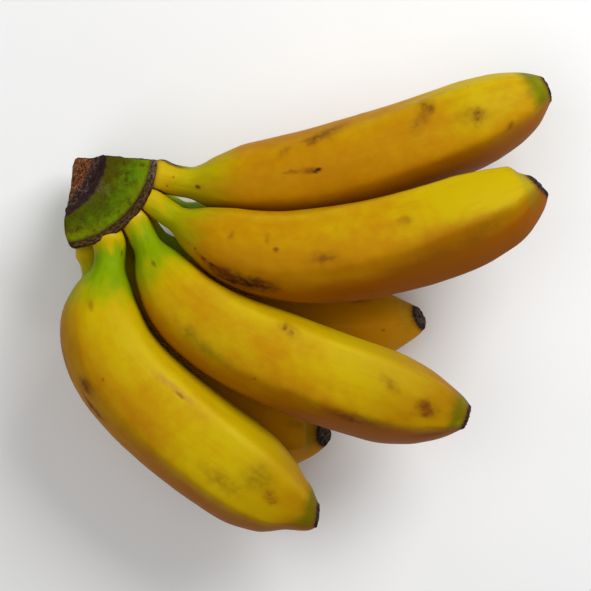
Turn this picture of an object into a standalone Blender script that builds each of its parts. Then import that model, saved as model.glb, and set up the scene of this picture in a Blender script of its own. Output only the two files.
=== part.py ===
"""A hand of lady finger bananas, cut from its stalk and lying on its lower row.

Eight short plump fingers grow out of one crown in two rows of four.  The crown is
the quarter-round block of stem that was cut off the stalk.  Each finger is peel and
flesh in one: a thin neck at the crown, a full belly and a blunt dark tip, swept along
a curved centre line.  Everything is in metres, +Z up, with the table at z = 0.
"""

import math
from dataclasses import dataclass

import bmesh
import bpy
import numpy as np
from mathutils import Matrix, Vector

MM = 0.001

# Crown: a quarter-round wedge whose point is the corner by the stalk.  It leans, so
# that its foot lies further from the fingers than its top.
CROWN_CORNER = (-72.75 * MM, 47.15 * MM)
CROWN_START_DEG = -90.0
CROWN_END_DEG = -4.0
CROWN_STEPS = 24
CROWN_RADIUS = 27.1 * MM
CROWN_LONGER = 3.0 * MM
CROWN_LEAN = (-0.10, 0.015)
CROWN_TOP = 44.5 * MM
CROWN_BOTTOM = 12.5 * MM
CROWN_DOME = 1.2 * MM
CROWN_DOME_SHARES = (0.2, 0.4, 0.6, 0.8)
CROWN_EDGE = 4.0 * MM
CROWN_EDGE_TURNS_DEG = (30, 60, 90)
CUT_SIDE_BULGE = 2.2 * MM
CUT_SIDE_BULGE_SKEW = 1.8

# The scar of the fallen bract: a low rough bead round the crown's outer top edge.
SCAR_WIDTH = 2.8 * MM
SCAR_HEIGHT = 0.7 * MM
SCAR_SHARES = (0.2, 0.5, 0.8)
SCAR_GROOVE = 0.2 * MM
SCAR_LIP = 0.5 * MM
SCAR_WAVE = 0.25 * MM
SCAR_WAVE_TURNS = (17.0, 41.0)
SCAR_WAVE_FINE = 0.6

# The cut that took the hand off the stalk: a steep plane across the corner.
CUT_RUN_X = 10.5 * MM
CUT_RUN_Y = 18.5 * MM
CUT_SET_BACK = 11.8 * MM
CUTTER_SIZE = 90.0 * MM

# Fingers: what they all share.  Swell and taper are shares of a finger's length.
CLEARANCE = 0.3 * MM
ROOT_RADIUS = 25.0 * MM
NECK_LENGTH = 13.0 * MM
ROOT_TALLER = 1.6
ROOT_TALLER_TO = 1.6 * NECK_LENGTH
SWELL = 0.21
TAPER = 0.205
FULLEST = 0.55
TIP_WIDTH = 8.6 * MM
TIP_DOME = 0.8 * MM
SIDES = 20
STATIONS = 30
STATION_CROWDING = 0.06
HEADING_STOPS = (0.0, 0.15, 0.45, 1.0)
CLIMB_STOPS = (0.0, 0.2, 0.5, 1.0)

# How the belly fills out after the neck and narrows to the tip: each pair is a share
# of the swell or taper, and a share of the way from neck to full width, or of full width.
FILLING = ((0.35, 0.45), (0.7, 0.78), (1.25, 0.92))
NARROWING = ((1.0, 0.95), (0.55, 0.78), (0.25, 0.52))

# Five soft ridges run along each finger, faint on the body and clear at the tip.
RIDGES = 5
RIDGE_STOPS = (0.0, 0.15, 0.4, 0.8, 1.0)
RIDGE_STRENGTHS = (0.0, 0.10, 0.10, 0.32, 0.0)

# Neighbours flatten each other where they grow tight together.
PRESS_SOFTNESS = 14.0
PRESS_FROM = 0.35
PRESS_TO = 1.6
PRESS_STEPS = 26

UPPER_ROOT_HEIGHT = 36.3 * MM
LOWER_ROOT_HEIGHT = 20.5 * MM
REST_DIP = 0.45 * MM
LOWER_CLIMBS = (-13.0, -8.0, -2.0, 1.0)

YELLOW = (0.52, 0.30, 0.01)
GREEN = (0.12, 0.13, 0.01)
PEEL_ROUGHNESS = 0.42
STEM_ROUGHNESS = 0.6
SHARP_EDGE_DEG = 40.0


@dataclass(frozen=True)
class Finger:
    """One banana: where it leaves the crown, how it bends and how big it is.

    Headings are degrees in plan, counter-clockwise from +X, and climbs are degrees
    above level, both read from the neck to the tip.
    """

    name: str
    root_angle: float
    root_height: float
    headings: tuple
    climbs: tuple
    length: float
    girth: float
    neck: float
    roll: float

    @property
    def rests(self):
        """Only the lower row touches the table."""
        return self.root_height < UPPER_ROOT_HEIGHT


FINGERS = (
    Finger("finger_upper_1", -14.0, UPPER_ROOT_HEIGHT, (-19.5, -2.0, 14.0, 27.0),
           (2.0, -3.0, -1.0, 1.0), 131.0 * MM, 29.8 * MM, 9.8 * MM, 34.0),
    Finger("finger_upper_2", -29.7, UPPER_ROOT_HEIGHT, (-41.5, -28.5, 3.5, 23.5),
           (16.0, 10.0, 1.0, -3.0), 135.0 * MM, 32.2 * MM, 8.6 * MM, 18.0),
    Finger("finger_upper_3", -43.2, UPPER_ROOT_HEIGHT, (-64.5, -60.0, -25.0, -12.5),
           (15.0, 8.0, 0.0, -3.0), 132.5 * MM, 30.4 * MM, 8.7 * MM, 30.0),
    Finger("finger_upper_4", -63.0, UPPER_ROOT_HEIGHT, (-77.5, -97.5, -46.0, -31.5),
           (15.0, 8.0, 0.0, -3.0), 124.5 * MM, 32.8 * MM, 9.9 * MM, 8.0),
    Finger("finger_lower_1", -22.0, LOWER_ROOT_HEIGHT, (-30.0, -22.0, 0.0, 16.0),
           LOWER_CLIMBS, 104.0 * MM, 28.0 * MM, 8.6 * MM, 10.0),
    Finger("finger_lower_2", -39.0, LOWER_ROOT_HEIGHT, (-53.0, -36.0, -29.5, 19.0),
           LOWER_CLIMBS, 107.0 * MM, 26.3 * MM, 8.6 * MM, 0.0),
    Finger("finger_lower_3", -56.5, LOWER_ROOT_HEIGHT, (-80.0, -72.0, -56.0, 6.0),
           LOWER_CLIMBS, 109.5 * MM, 28.0 * MM, 8.6 * MM, 40.0),
    Finger("finger_lower_4", -84.0, LOWER_ROOT_HEIGHT, (-58.0, -81.0, -59.0, -35.0),
           LOWER_CLIMBS, 100.0 * MM, 27.0 * MM, 8.6 * MM, 24.0),
)


def smooth_through(stops, values, at):
    """Values of a curve that passes smoothly through each stop without overshoot."""
    stops = np.asarray(stops, float)
    values = np.asarray(values, float)
    gaps = np.diff(stops)
    slopes = np.diff(values) / gaps
    tangents = np.zeros(len(stops))
    for i in range(1, len(stops) - 1):
        before, after = slopes[i - 1], slopes[i]
        if before * after > 0:
            left = 2 * gaps[i] + gaps[i - 1]
            right = gaps[i] + 2 * gaps[i - 1]
            tangents[i] = (left + right) / (left / before + right / after)
    tangents[0] = slopes[0]
    tangents[-1] = slopes[-1]
    i = np.clip(np.searchsorted(stops, at) - 1, 0, len(gaps) - 1)
    t = (at - stops[i]) / gaps[i]
    rise = 3 * t**2 - 2 * t**3
    leave = (t**3 - 2 * t**2 + t) * gaps[i] * tangents[i]
    arrive = (t**3 - t**2) * gaps[i] * tangents[i + 1]
    return values[i] + rise * (values[i + 1] - values[i]) + leave + arrive


def leaning_corner(height):
    """Where the crown's corner is at a height, in plan."""
    drop = CROWN_TOP - height
    return CROWN_CORNER[0] + CROWN_LEAN[0] * drop, CROWN_CORNER[1] + CROWN_LEAN[1] * drop


def crown_angle(share):
    """The direction from the crown's corner to a place along its round wall."""
    return math.radians(CROWN_START_DEG + share * (CROWN_END_DEG - CROWN_START_DEG))


def wall_radius(share):
    """The crown's outer radius, which grows from the first finger round to the last."""
    return CROWN_RADIUS + CROWN_LONGER * (1 - share)


class Sweep:
    """A finger's centre line and free cross-sections, before its neighbours press on it."""

    FINE_STEPS = 400
    SPINE_STEPS = 80

    def __init__(self, finger, stations):
        self.finger = finger
        self.share = stations
        fine = np.linspace(0.0, 1.0, self.FINE_STEPS + 1)
        heading = np.radians(smooth_through(HEADING_STOPS, finger.headings, fine))
        climb = np.radians(smooth_through(CLIMB_STOPS, finger.climbs, fine))
        level = np.cos(climb)
        ahead = np.stack([level * np.cos(heading), level * np.sin(heading), np.sin(climb)], axis=1)
        steps = (ahead[1:] + ahead[:-1]) / 2 * finger.length / self.FINE_STEPS
        line = self.root() + np.concatenate([np.zeros((1, 3)), np.cumsum(steps, axis=0)])
        spine = np.linspace(0.0, 1.0, self.SPINE_STEPS + 1)
        self.spine = self.read(line, fine, spine)
        self.spine_half = self.half_width(spine * finger.length)
        if finger.rests:
            lowest = (self.spine[:, 2] - self.spine_half).min()
            line[:, 2] -= lowest + REST_DIP
            self.spine[:, 2] -= lowest + REST_DIP
        self.centre = self.read(line, fine, stations)
        self.ahead = self.read(ahead, fine, stations)
        self.ahead /= np.linalg.norm(self.ahead, axis=1)[:, None]
        self.half = self.half_width(stations * finger.length)

    def root(self):
        """The centre line's first point, just inside the crown's wall."""
        angle = math.radians(self.finger.root_angle)
        x, y = leaning_corner(self.finger.root_height)
        return np.array([
            x + ROOT_RADIUS * math.cos(angle),
            y + ROOT_RADIUS * math.sin(angle),
            self.finger.root_height,
        ])

    @staticmethod
    def read(line, fine, at):
        """A line's points, or its directions, at some shares of its length."""
        return np.stack([np.interp(at, fine, line[:, axis]) for axis in range(3)], axis=1)

    def half_width(self, along):
        """Half the finger's width at each distance from its root."""
        length = self.finger.length
        full = self.finger.girth / 2
        neck = self.finger.neck / 2
        swell = SWELL * length
        taper = TAPER * length
        stops = [0.0, NECK_LENGTH]
        widths = [neck, neck]
        for share, filled in FILLING:
            stops.append(NECK_LENGTH + share * swell)
            widths.append(neck + filled * (full - neck))
        stops.append(FULLEST * length)
        widths.append(full)
        for share, left in NARROWING:
            stops.append(length - share * taper)
            widths.append(left * full)
        stops.append(length)
        widths.append(TIP_WIDTH / 2)
        return smooth_through(stops, widths, along)

    def directions(self, sides):
        """Unit directions from the centre line to each side of each cross-section."""
        up = np.array([0.0, 0.0, 1.0])
        across = np.cross(up, self.ahead)
        across /= np.linalg.norm(across, axis=1)[:, None]
        lift = np.cross(self.ahead, across)
        turn = np.linspace(0.0, 2 * math.pi, sides, endpoint=False)
        turn = turn + math.radians(self.finger.roll)
        return (across[:, None] * np.cos(turn)[None, :, None]
                + lift[:, None] * np.sin(turn)[None, :, None]), turn

    def free_radius(self, sides):
        """Distance from centre line to peel: five soft ridges, and a root taller than wide."""
        _, turn = self.directions(sides)
        sector = 2 * math.pi / RIDGES
        within = (turn - math.radians(self.finger.roll)) % sector
        polygon = math.cos(sector / 2) / np.cos(within - sector / 2)
        polygon = polygon / polygon.mean()
        strength = smooth_through(RIDGE_STOPS, RIDGE_STRENGTHS, self.share)
        ridged = 1 + strength[:, None] * (polygon[None, :] - 1)
        fade = np.clip(1 - self.share * self.finger.length / ROOT_TALLER_TO, 0.0, 1.0)
        taller = 1 + (ROOT_TALLER - 1) * fade[:, None]
        stretch = np.hypot(np.cos(turn)[None, :], np.sin(turn)[None, :] * taller)
        return self.half[:, None] * ridged * stretch


def relative_distance(points, other):
    """Distance of each point from another finger's centre line, as a share of its half-width."""
    gap = np.linalg.norm(points[..., None, :] - other.spine, axis=-1)
    return (gap / other.spine_half).min(axis=-1)


def press_limit(sweep, others, outward):
    """How far each side may reach before it meets the halfway surface to a neighbour."""
    limit = np.full(outward.shape[:2], np.inf)
    reach = sweep.half[:, None]
    before = None
    shares = np.linspace(PRESS_FROM, PRESS_TO, PRESS_STEPS)
    for step, share in enumerate(shares):
        points = sweep.centre[:, None] + outward * (share * reach)[..., None]
        nearest = np.min([relative_distance(points, other) for other in others], axis=0)
        margin = nearest - share
        if before is not None:
            crossed = (margin <= 0) & (before > 0) & np.isinf(limit)
            part_way = before / np.where(crossed, before - margin, 1.0)
            meets = shares[step - 1] + part_way * (share - shares[step - 1])
            limit = np.where(crossed, meets, limit)
        before = margin
    return limit * reach - CLEARANCE


def finger_points(finger, sweeps):
    """The finger's cross-sections, flattened where neighbours press on it and where it rests."""
    sweep = sweeps[finger.name]
    outward, _ = sweep.directions(SIDES)
    free = sweep.free_radius(SIDES)
    others = [other for name, other in sweeps.items() if name != finger.name]
    limit = press_limit(sweep, others, outward)
    radius = (free**-PRESS_SOFTNESS + limit**-PRESS_SOFTNESS) ** (-1 / PRESS_SOFTNESS)
    points = sweep.centre[:, None] + outward * radius[..., None]
    points[..., 2] = np.maximum(points[..., 2], 0.0)
    return points


def finger_mesh(finger, sweeps):
    """A closed skin over the cross-sections, with a low dome on the tip."""
    sweep = sweeps[finger.name]
    mesh = bmesh.new()
    rings = [[mesh.verts.new(point) for point in ring] for ring in finger_points(finger, sweeps)]
    for near, far in zip(rings, rings[1:]):
        for i in range(SIDES):
            j = (i + 1) % SIDES
            mesh.faces.new((near[i], near[j], far[j], far[i]))
    mesh.faces.new(reversed(rings[0]))
    apex = mesh.verts.new(sweep.centre[-1] + sweep.ahead[-1] * TIP_DOME)
    for i in range(SIDES):
        mesh.faces.new((rings[-1][i], rings[-1][(i + 1) % SIDES], apex))
    bmesh.ops.recalc_face_normals(mesh, faces=mesh.faces)
    return mesh


def crown_profile(outer):
    """The crown's half-section for one outer radius, as (radius, height, scar wave) points."""
    inner = outer - SCAR_WIDTH
    floor = CROWN_BOTTOM + CROWN_EDGE
    points = [(0.0, CROWN_TOP, 0.0)]
    for share in CROWN_DOME_SHARES:
        points.append((inner * share, CROWN_TOP + CROWN_DOME * math.sin(math.pi * share), 0.0))
    points.append((inner, CROWN_TOP - SCAR_GROOVE, 0.5))
    for share in SCAR_SHARES:
        lift = SCAR_HEIGHT * math.sin(math.pi * share)
        points.append((inner + SCAR_WIDTH * share, CROWN_TOP + lift, 1.0))
    for height in (CROWN_TOP - SCAR_LIP, (CROWN_TOP + floor) / 2, floor):
        points.append((outer, height, 0.0))
    for degrees in CROWN_EDGE_TURNS_DEG:
        turn = math.radians(degrees)
        radius = outer - CROWN_EDGE * (1 - math.cos(turn))
        points.append((radius, floor - CROWN_EDGE * math.sin(turn), 0.0))
    points.append((outer / 2, CROWN_BOTTOM, 0.0))
    points.append((0.0, CROWN_BOTTOM, 0.0))
    return points


def scar_wave(share):
    """How far the scar strays outward at a place along the round wall."""
    slow, quick = SCAR_WAVE_TURNS
    return SCAR_WAVE * (math.sin(slow * share) + SCAR_WAVE_FINE * math.sin(quick * share + 1))


def crown_mesh():
    """The wedge: its profile turned about the leaning corner, with both cut sides closed."""
    mesh = bmesh.new()
    top = mesh.verts.new((*leaning_corner(CROWN_TOP), CROWN_TOP))
    bottom = mesh.verts.new((*leaning_corner(CROWN_BOTTOM), CROWN_BOTTOM))
    columns = []
    for step in range(CROWN_STEPS + 1):
        share = step / CROWN_STEPS
        angle = crown_angle(share)
        outer = wall_radius(share)
        column = [top]
        for radius, height, scar in crown_profile(outer)[1:-1]:
            bulge = 0.0
            if step == 0:
                skewed = min(radius / outer, 1.0) ** CUT_SIDE_BULGE_SKEW
                bulge = CUT_SIDE_BULGE * math.sin(math.pi * skewed)
            corner_x, corner_y = leaning_corner(height)
            reach = radius + scar * scar_wave(share)
            x = corner_x + reach * math.cos(angle) - bulge
            y = corner_y + reach * math.sin(angle)
            column.append(mesh.verts.new((x, y, height)))
        column.append(bottom)
        columns.append(column)
    for near, far in zip(columns, columns[1:]):
        for i in range(len(near) - 1):
            corners = [near[i], near[i + 1], far[i + 1], far[i]]
            mesh.faces.new(list(dict.fromkeys(corners)))
    sides = [mesh.faces.new(columns[0]), mesh.faces.new(reversed(columns[-1]))]
    bmesh.ops.triangulate(mesh, faces=sides)
    bmesh.ops.recalc_face_normals(mesh, faces=mesh.faces)
    return mesh


def stalk_cutter():
    """A box whose one side is the steep cut across the crown's corner."""
    start = Vector((CROWN_CORNER[0] + CUT_RUN_X, CROWN_CORNER[1], CROWN_TOP))
    end = Vector((CROWN_CORNER[0], CROWN_CORNER[1] - CUT_RUN_Y, CROWN_TOP))
    along = (end - start).normalized()
    inward = Vector((0.0, 0.0, 1.0)).cross(along).normalized()
    depth = CROWN_TOP - CROWN_BOTTOM
    down = (-inward * CUT_SET_BACK + Vector((0.0, 0.0, -depth))).normalized()
    outward = along.cross(down).normalized()
    if outward.dot(inward) > 0:
        outward = -outward
    turn = Matrix((along, down, outward)).transposed()
    middle = (start + end) / 2 + outward * CUTTER_SIZE / 2
    mesh = bmesh.new()
    place = Matrix.Translation(middle) @ turn.to_4x4()
    bmesh.ops.create_cube(mesh, size=CUTTER_SIZE, matrix=place)
    bmesh.ops.recalc_face_normals(mesh, faces=mesh.faces)
    return mesh


def wall_cutter():
    """The crown's plan grown by the clearance, from below the table to above the fingers."""
    outline = []
    for step in range(-2, CROWN_STEPS + 3):
        share = step / CROWN_STEPS
        radius = wall_radius(share) + CLEARANCE
        angle = crown_angle(share)
        outline.append((radius * math.cos(angle), radius * math.sin(angle)))
    outline.append((0.0, CROWN_RADIUS / 2))
    outline.append((-CROWN_RADIUS / 2, 0.0))
    mesh = bmesh.new()
    ends = []
    for height in (-CROWN_TOP, 3 * CROWN_TOP):
        corner_x, corner_y = leaning_corner(height)
        ends.append([mesh.verts.new((corner_x + x, corner_y + y, height)) for x, y in outline])
    low, high = ends
    for i in range(len(outline)):
        j = (i + 1) % len(outline)
        mesh.faces.new((low[i], low[j], high[j], high[i]))
    mesh.faces.new(low)
    mesh.faces.new(high)
    bmesh.ops.recalc_face_normals(mesh, faces=mesh.faces)
    return mesh


def new_material(name, colour, roughness):
    """A plain Principled material: the part's colour and how dull it is."""
    material = bpy.data.materials.new(name)
    material.use_nodes = True
    shader = material.node_tree.nodes["Principled BSDF"]
    shader.inputs["Base Color"].default_value = (*colour, 1.0)
    shader.inputs["Roughness"].default_value = roughness
    shader.inputs["Metallic"].default_value = 0.0
    return material


def new_object(name, mesh, material):
    """An object for a finished bmesh, smooth shaded except over real edges."""
    data = bpy.data.meshes.new(name)
    mesh.to_mesh(data)
    mesh.free()
    data.shade_smooth()
    data.set_sharp_from_angle(angle=math.radians(SHARP_EDGE_DEG))
    data.materials.append(material)
    obj = bpy.data.objects.new(name, data)
    bpy.context.scene.collection.objects.link(obj)
    return obj


def hide_helper(obj):
    """Keeps a cutter out of renders and out of the finished part."""
    obj.hide_render = True
    obj.display_type = "WIRE"
    return obj


def cut(obj, cutter):
    """Cuts the helper's volume out of an object."""
    modifier = obj.modifiers.new("cut " + cutter.name, "BOOLEAN")
    modifier.operation = "DIFFERENCE"
    modifier.object = cutter


def clear_scene():
    """Starts from nothing, whatever the file held."""
    for obj in list(bpy.data.objects):
        bpy.data.objects.remove(obj, do_unlink=True)


def main():
    """Builds the crown, then each finger, trimmed where it meets the crown."""
    clear_scene()
    peel = new_material("peel", YELLOW, PEEL_ROUGHNESS)
    stem = new_material("crown stem", GREEN, STEM_ROUGHNESS)
    crown = new_object("crown", crown_mesh(), stem)
    cut(crown, hide_helper(new_object("stalk_cutter", stalk_cutter(), stem)))
    wall = hide_helper(new_object("wall_cutter", wall_cutter(), stem))
    even = np.linspace(0.0, 1.0, STATIONS)
    stations = even - STATION_CROWDING * np.sin(2 * math.pi * even)
    sweeps = {finger.name: Sweep(finger, stations) for finger in FINGERS}
    for finger in FINGERS:
        cut(new_object(finger.name, finger_mesh(finger, sweeps), peel), wall)


main()
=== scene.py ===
"""The finished looks of a hand of lady finger bananas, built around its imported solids.

Two sub-assemblies make the object: the fingers, which are swept skins with the same
sizes as the solids, and the crown that they grow from.  Each piece replaces the solid
of its own name.  Lengths are metres, except where a name ends in _mm.
"""

import logging
import math
from dataclasses import dataclass
from enum import Enum

import bmesh
import bpy
import numpy as np
from mathutils import Matrix, Vector


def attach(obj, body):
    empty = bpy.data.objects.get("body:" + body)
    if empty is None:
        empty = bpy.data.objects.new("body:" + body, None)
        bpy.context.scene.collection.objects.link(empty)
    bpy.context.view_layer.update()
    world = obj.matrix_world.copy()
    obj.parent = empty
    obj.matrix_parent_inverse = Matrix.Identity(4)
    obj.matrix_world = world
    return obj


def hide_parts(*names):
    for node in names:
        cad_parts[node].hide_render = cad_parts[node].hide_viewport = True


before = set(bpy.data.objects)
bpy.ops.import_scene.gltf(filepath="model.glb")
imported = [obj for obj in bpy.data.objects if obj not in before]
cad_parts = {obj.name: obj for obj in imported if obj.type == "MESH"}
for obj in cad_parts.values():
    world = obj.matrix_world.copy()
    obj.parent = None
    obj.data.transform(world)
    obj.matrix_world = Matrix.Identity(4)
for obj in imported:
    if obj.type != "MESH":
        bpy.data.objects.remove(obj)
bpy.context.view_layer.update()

BODY = "root"
MM = 0.001
SKIN_RADIUS_MM = 15.0
LOG = logging.getLogger("bananas")

Points = np.ndarray
Numbers = np.ndarray
Colour = tuple[float, float, float]
Zone = tuple[float, float]
Spots = tuple[tuple[float, float, float, float], ...]


def ink(red: int, green: int, blue: int) -> Colour:
    """Turns a screen colour into the linear one that a shader takes.

    Args:
        red: Red, from 0 to 255.
        green: Green, from 0 to 255.
        blue: Blue, from 0 to 255.

    Returns:
        The same colour as linear light, from 0 to 1.
    """
    def linear(level: int) -> float:
        """One channel as linear light."""
        share = level / 255
        return share / 12.92 if share <= 0.04045 else ((share + 0.055) / 1.055) ** 2.4

    return linear(red), linear(green), linear(blue)


def smooth_through(stops: Numbers, values: Numbers, at: Numbers) -> Numbers:
    """Reads a curve that passes smoothly through each stop without overshoot.

    Args:
        stops: Where the curve's stops are, rising.
        values: The curve's value at each stop.
        at: Where to read it.

    Returns:
        The curve's values there.
    """
    stops = np.asarray(stops, float)
    values = np.asarray(values, float)
    gaps = np.diff(stops)
    slopes = np.diff(values) / gaps
    tangents = np.zeros(len(stops))
    for i in range(1, len(stops) - 1):
        before, after = slopes[i - 1], slopes[i]
        if before * after > 0:
            left = 2 * gaps[i] + gaps[i - 1]
            right = gaps[i] + 2 * gaps[i - 1]
            tangents[i] = (left + right) / (left / before + right / after)
    tangents[0] = slopes[0]
    tangents[-1] = slopes[-1]
    i = np.clip(np.searchsorted(stops, at) - 1, 0, len(gaps) - 1)
    t = (at - stops[i]) / gaps[i]
    rise = 3 * t**2 - 2 * t**3
    leave = (t**3 - 2 * t**2 + t) * gaps[i] * tangents[i]
    arrive = (t**3 - t**2) * gaps[i] * tangents[i + 1]
    return values[i] + rise * (values[i + 1] - values[i]) + leave + arrive


def fade(low: float, high: float, at: Numbers) -> Numbers:
    """A smooth step from 0 at low to 1 at high."""
    t = np.clip((at - low) / (high - low), 0.0, 1.0)
    return t * t * (3 - 2 * t)


class Grain:
    """Smooth random relief in space, the same each run."""

    CELLS = 32

    def __init__(self, seed: int) -> None:
        """Fills the lattice.

        Args:
            seed: Which relief it is.
        """
        self.table = np.random.default_rng(seed).uniform(-1.0, 1.0, (self.CELLS,) * 3)

    def at(self, points: Points, size: float | tuple[float, float, float]) -> Numbers:
        """Reads the relief.

        Args:
            points: Places, in any unit.
            size: How far apart its bumps are, in the same unit, or that for each axis.

        Returns:
            Heights from -1 to 1.
        """
        places = points / np.asarray(size, float)
        low = np.floor(places).astype(int)
        part = places - low
        part = part * part * (3 - 2 * part)
        total = np.zeros(points.shape[:-1])
        for corner in np.ndindex(2, 2, 2):
            share = np.ones(points.shape[:-1])
            for axis in range(3):
                share = share * (part[..., axis] if corner[axis] else 1 - part[..., axis])
            x, y, z = ((low[..., axis] + corner[axis]) % self.CELLS for axis in range(3))
            total += share * self.table[x, y, z]
        return total

    def rough(self, points: Points, size: float, octaves: int = 3) -> Numbers:
        """Several sizes of the relief added up, each finer and lower than the last.

        Args:
            points: Places, in any unit.
            size: How far apart the coarsest bumps are.
            octaves: How many sizes there are.

        Returns:
            Heights, mostly from -1 to 1.
        """
        total = np.zeros(points.shape[:-1])
        for octave in range(octaves):
            total += self.at(points + 7.3 * octave * size, size / 2**octave) / 2**octave
        return total / 1.5


class Tap:
    """A shader socket that can stand in sums, as a number does."""

    def __init__(self, bench: "Bench", socket: bpy.types.NodeSocket) -> None:
        """Wraps a socket.

        Args:
            bench: The material that it is in.
            socket: The socket itself.
        """
        self.bench = bench
        self.socket = socket

    def __add__(self, other: "Tap | float") -> "Tap":
        """Sum."""
        return self.bench.math("ADD", self, other)

    def __radd__(self, other: float) -> "Tap":
        """Sum with a number first."""
        return self.bench.math("ADD", other, self)

    def __sub__(self, other: "Tap | float") -> "Tap":
        """Difference."""
        return self.bench.math("SUBTRACT", self, other)

    def __rsub__(self, other: float) -> "Tap":
        """Difference from a number."""
        return self.bench.math("SUBTRACT", other, self)

    def __mul__(self, other: "Tap | float") -> "Tap":
        """Product."""
        return self.bench.math("MULTIPLY", self, other)

    def __rmul__(self, other: float) -> "Tap":
        """Product with a number first."""
        return self.bench.math("MULTIPLY", other, self)

    def fade(self, low: float, high: float) -> "Tap":
        """A smooth step of this value.

        Args:
            low: Where the step is 0.
            high: Where the step is 1.  It may be below low.

        Returns:
            The step, from 0 to 1.
        """
        flip = high < low
        settings = {"interpolation_type": "SMOOTHSTEP"}
        sockets = {"Value": self, "From Min": min(low, high), "From Max": max(low, high)}
        sockets.update({"To Min": float(flip), "To Max": float(not flip)})
        return self.bench.node("ShaderNodeMapRange", settings, sockets)


class Bench:
    """A material under construction, with one method for each way that it grows."""

    def __init__(self, name: str) -> None:
        """Starts a material with its shader.

        Args:
            name: The material's name.
        """
        self.material = bpy.data.materials.new(name)
        self.material.use_nodes = True
        self.tree = self.material.node_tree
        self.shader = self.tree.nodes["Principled BSDF"]

    def plug(self, socket: bpy.types.NodeSocket, value: object) -> None:
        """Sets a socket's value, or links it.

        Args:
            socket: The socket that takes it.
            value: A number, a colour, a vector or a tap.
        """
        if isinstance(value, Tap):
            self.tree.links.new(value.socket, socket)
        elif isinstance(value, tuple) and socket.type == "RGBA":
            socket.default_value = (*value[:3], 1.0)
        else:
            socket.default_value = value

    def node(self, kind: str, settings: dict, sockets: dict, out: int | str = 0) -> Tap:
        """Adds a node.

        Args:
            kind: The node's type.
            settings: Its own settings, set first.
            sockets: The value or link of each of its sockets, by name or number.
            out: Which of its outputs is wanted.

        Returns:
            That output.
        """
        made = self.tree.nodes.new(kind)
        for name, value in settings.items():
            setattr(made, name, value)
        for name, value in sockets.items():
            self.plug(made.inputs[name], value)
        return Tap(self, made.outputs[out])

    def math(self, operation: str, *values: "Tap | float") -> Tap:
        """Adds a Math node.

        Args:
            operation: What it does.
            values: What it works on.

        Returns:
            Its result.
        """
        return self.node("ShaderNodeMath", {"operation": operation}, dict(enumerate(values)))

    def vector(self, operation: str, sockets: dict, out: int | str = 0) -> Tap:
        """Adds a Vector Math node.

        Args:
            operation: What it does.
            sockets: What it works on, by socket.
            out: Which of its outputs is wanted.

        Returns:
            That output.
        """
        return self.node("ShaderNodeVectorMath", {"operation": operation}, sockets, out)

    def mix(self, share: "Tap | float", under: object, over: object) -> Tap:
        """Lays one colour over another.

        Args:
            share: How much of the upper colour shows, from 0 to 1.
            under: The lower colour.
            over: The upper colour.

        Returns:
            The mixed colour.
        """
        sockets = {0: share, 6: under, 7: over}
        return self.node("ShaderNodeMix", {"data_type": "RGBA"}, sockets, 2)

    def noise(self, where: Tap, size_mm: float, detail: float = 3.0, rough: float = 0.5,
              out: int | str = 0) -> Tap:
        """Adds cloudy noise.

        Args:
            where: The place, in millimetres.
            size_mm: How far apart its clouds are.
            detail: How many finer sizes it adds.
            rough: How strong those are.
            out: Its value, 0, or its three-part colour, 1.

        Returns:
            The noise, mostly from 0.3 to 0.7.
        """
        sockets = {"Vector": where, "Scale": 1 / size_mm, "Detail": detail, "Roughness": rough}
        return self.node("ShaderNodeTexNoise", {}, sockets, out)

    def attribute(self, name: str, out: int | str = "Fac") -> Tap:
        """Reads what the mesh says about a place.

        Args:
            name: The attribute's name.
            out: "Fac" for a number or "Vector" for three.

        Returns:
            The attribute.
        """
        return self.node("ShaderNodeAttribute", {"attribute_name": name}, {}, out)

    def place_mm(self) -> Tap:
        """The place on the object, in millimetres."""
        place = self.node("ShaderNodeTexCoord", {}, {}, "Object")
        return self.vector("SCALE", {0: place, "Scale": 1 / MM})

    def stretched(self, where: Tap, sizes: tuple[float, float, float]) -> Tap:
        """A place with each axis multiplied by its own number."""
        return self.vector("MULTIPLY", {0: where, 1: sizes})

    def strayed(self, where: Tap, size_mm: float, by_mm: float) -> Tap:
        """A place moved about at random, so that what is drawn there has a ragged edge.

        Args:
            where: The place, in millimetres.
            size_mm: How far apart the moves are.
            by_mm: How far they go.

        Returns:
            The moved place.
        """
        stray = self.noise(where, size_mm, out=1)
        centred = self.vector("SUBTRACT", {0: stray, 1: (0.5, 0.5, 0.5)})
        moved = self.vector("SCALE", {0: centred, "Scale": 2 * by_mm})
        return self.vector("ADD", {0: where, 1: moved})

    def patch(self, where: Tap, turn: Matrix, centre: Vector, half: tuple[float, float, float],
              soft: float) -> Tap:
        """A soft oval patch.

        Args:
            where: The place, in millimetres.
            turn: The oval's own directions, as a matrix's columns.
            centre: Its middle, in millimetres.
            half: Its half sizes, in millimetres.
            soft: How wide its edge is, as a share of its half size.

        Returns:
            1 inside, 0 outside.
        """
        sockets = {"Vector": where, "Location": tuple(centre), "Scale": half}
        sockets["Rotation"] = tuple(turn.to_euler())
        local = self.node("ShaderNodeMapping", {"vector_type": "TEXTURE"}, sockets)
        distance = self.vector("LENGTH", {0: local}, "Value")
        return distance.fade(1 + soft, 1 - soft)

    def finish(self, colour: Tap, roughness: "Tap | float", height: Tap, bump: float,
               specular: float) -> bpy.types.Material:
        """Connects the shader.

        Args:
            colour: The surface's colour.
            roughness: Its roughness.
            height: Its fine relief, in millimetres.
            bump: How strong that relief is.
            specular: How much it shines.

        Returns:
            The finished material.
        """
        self.plug(self.shader.inputs["Base Color"], colour)
        self.plug(self.shader.inputs["Roughness"], roughness)
        sockets = {"Height": height, "Strength": bump, "Distance": MM}
        self.plug(self.shader.inputs["Normal"], self.node("ShaderNodeBump", {}, sockets))
        self.shader.inputs["Specular IOR Level"].default_value = specular
        return self.material


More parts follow.
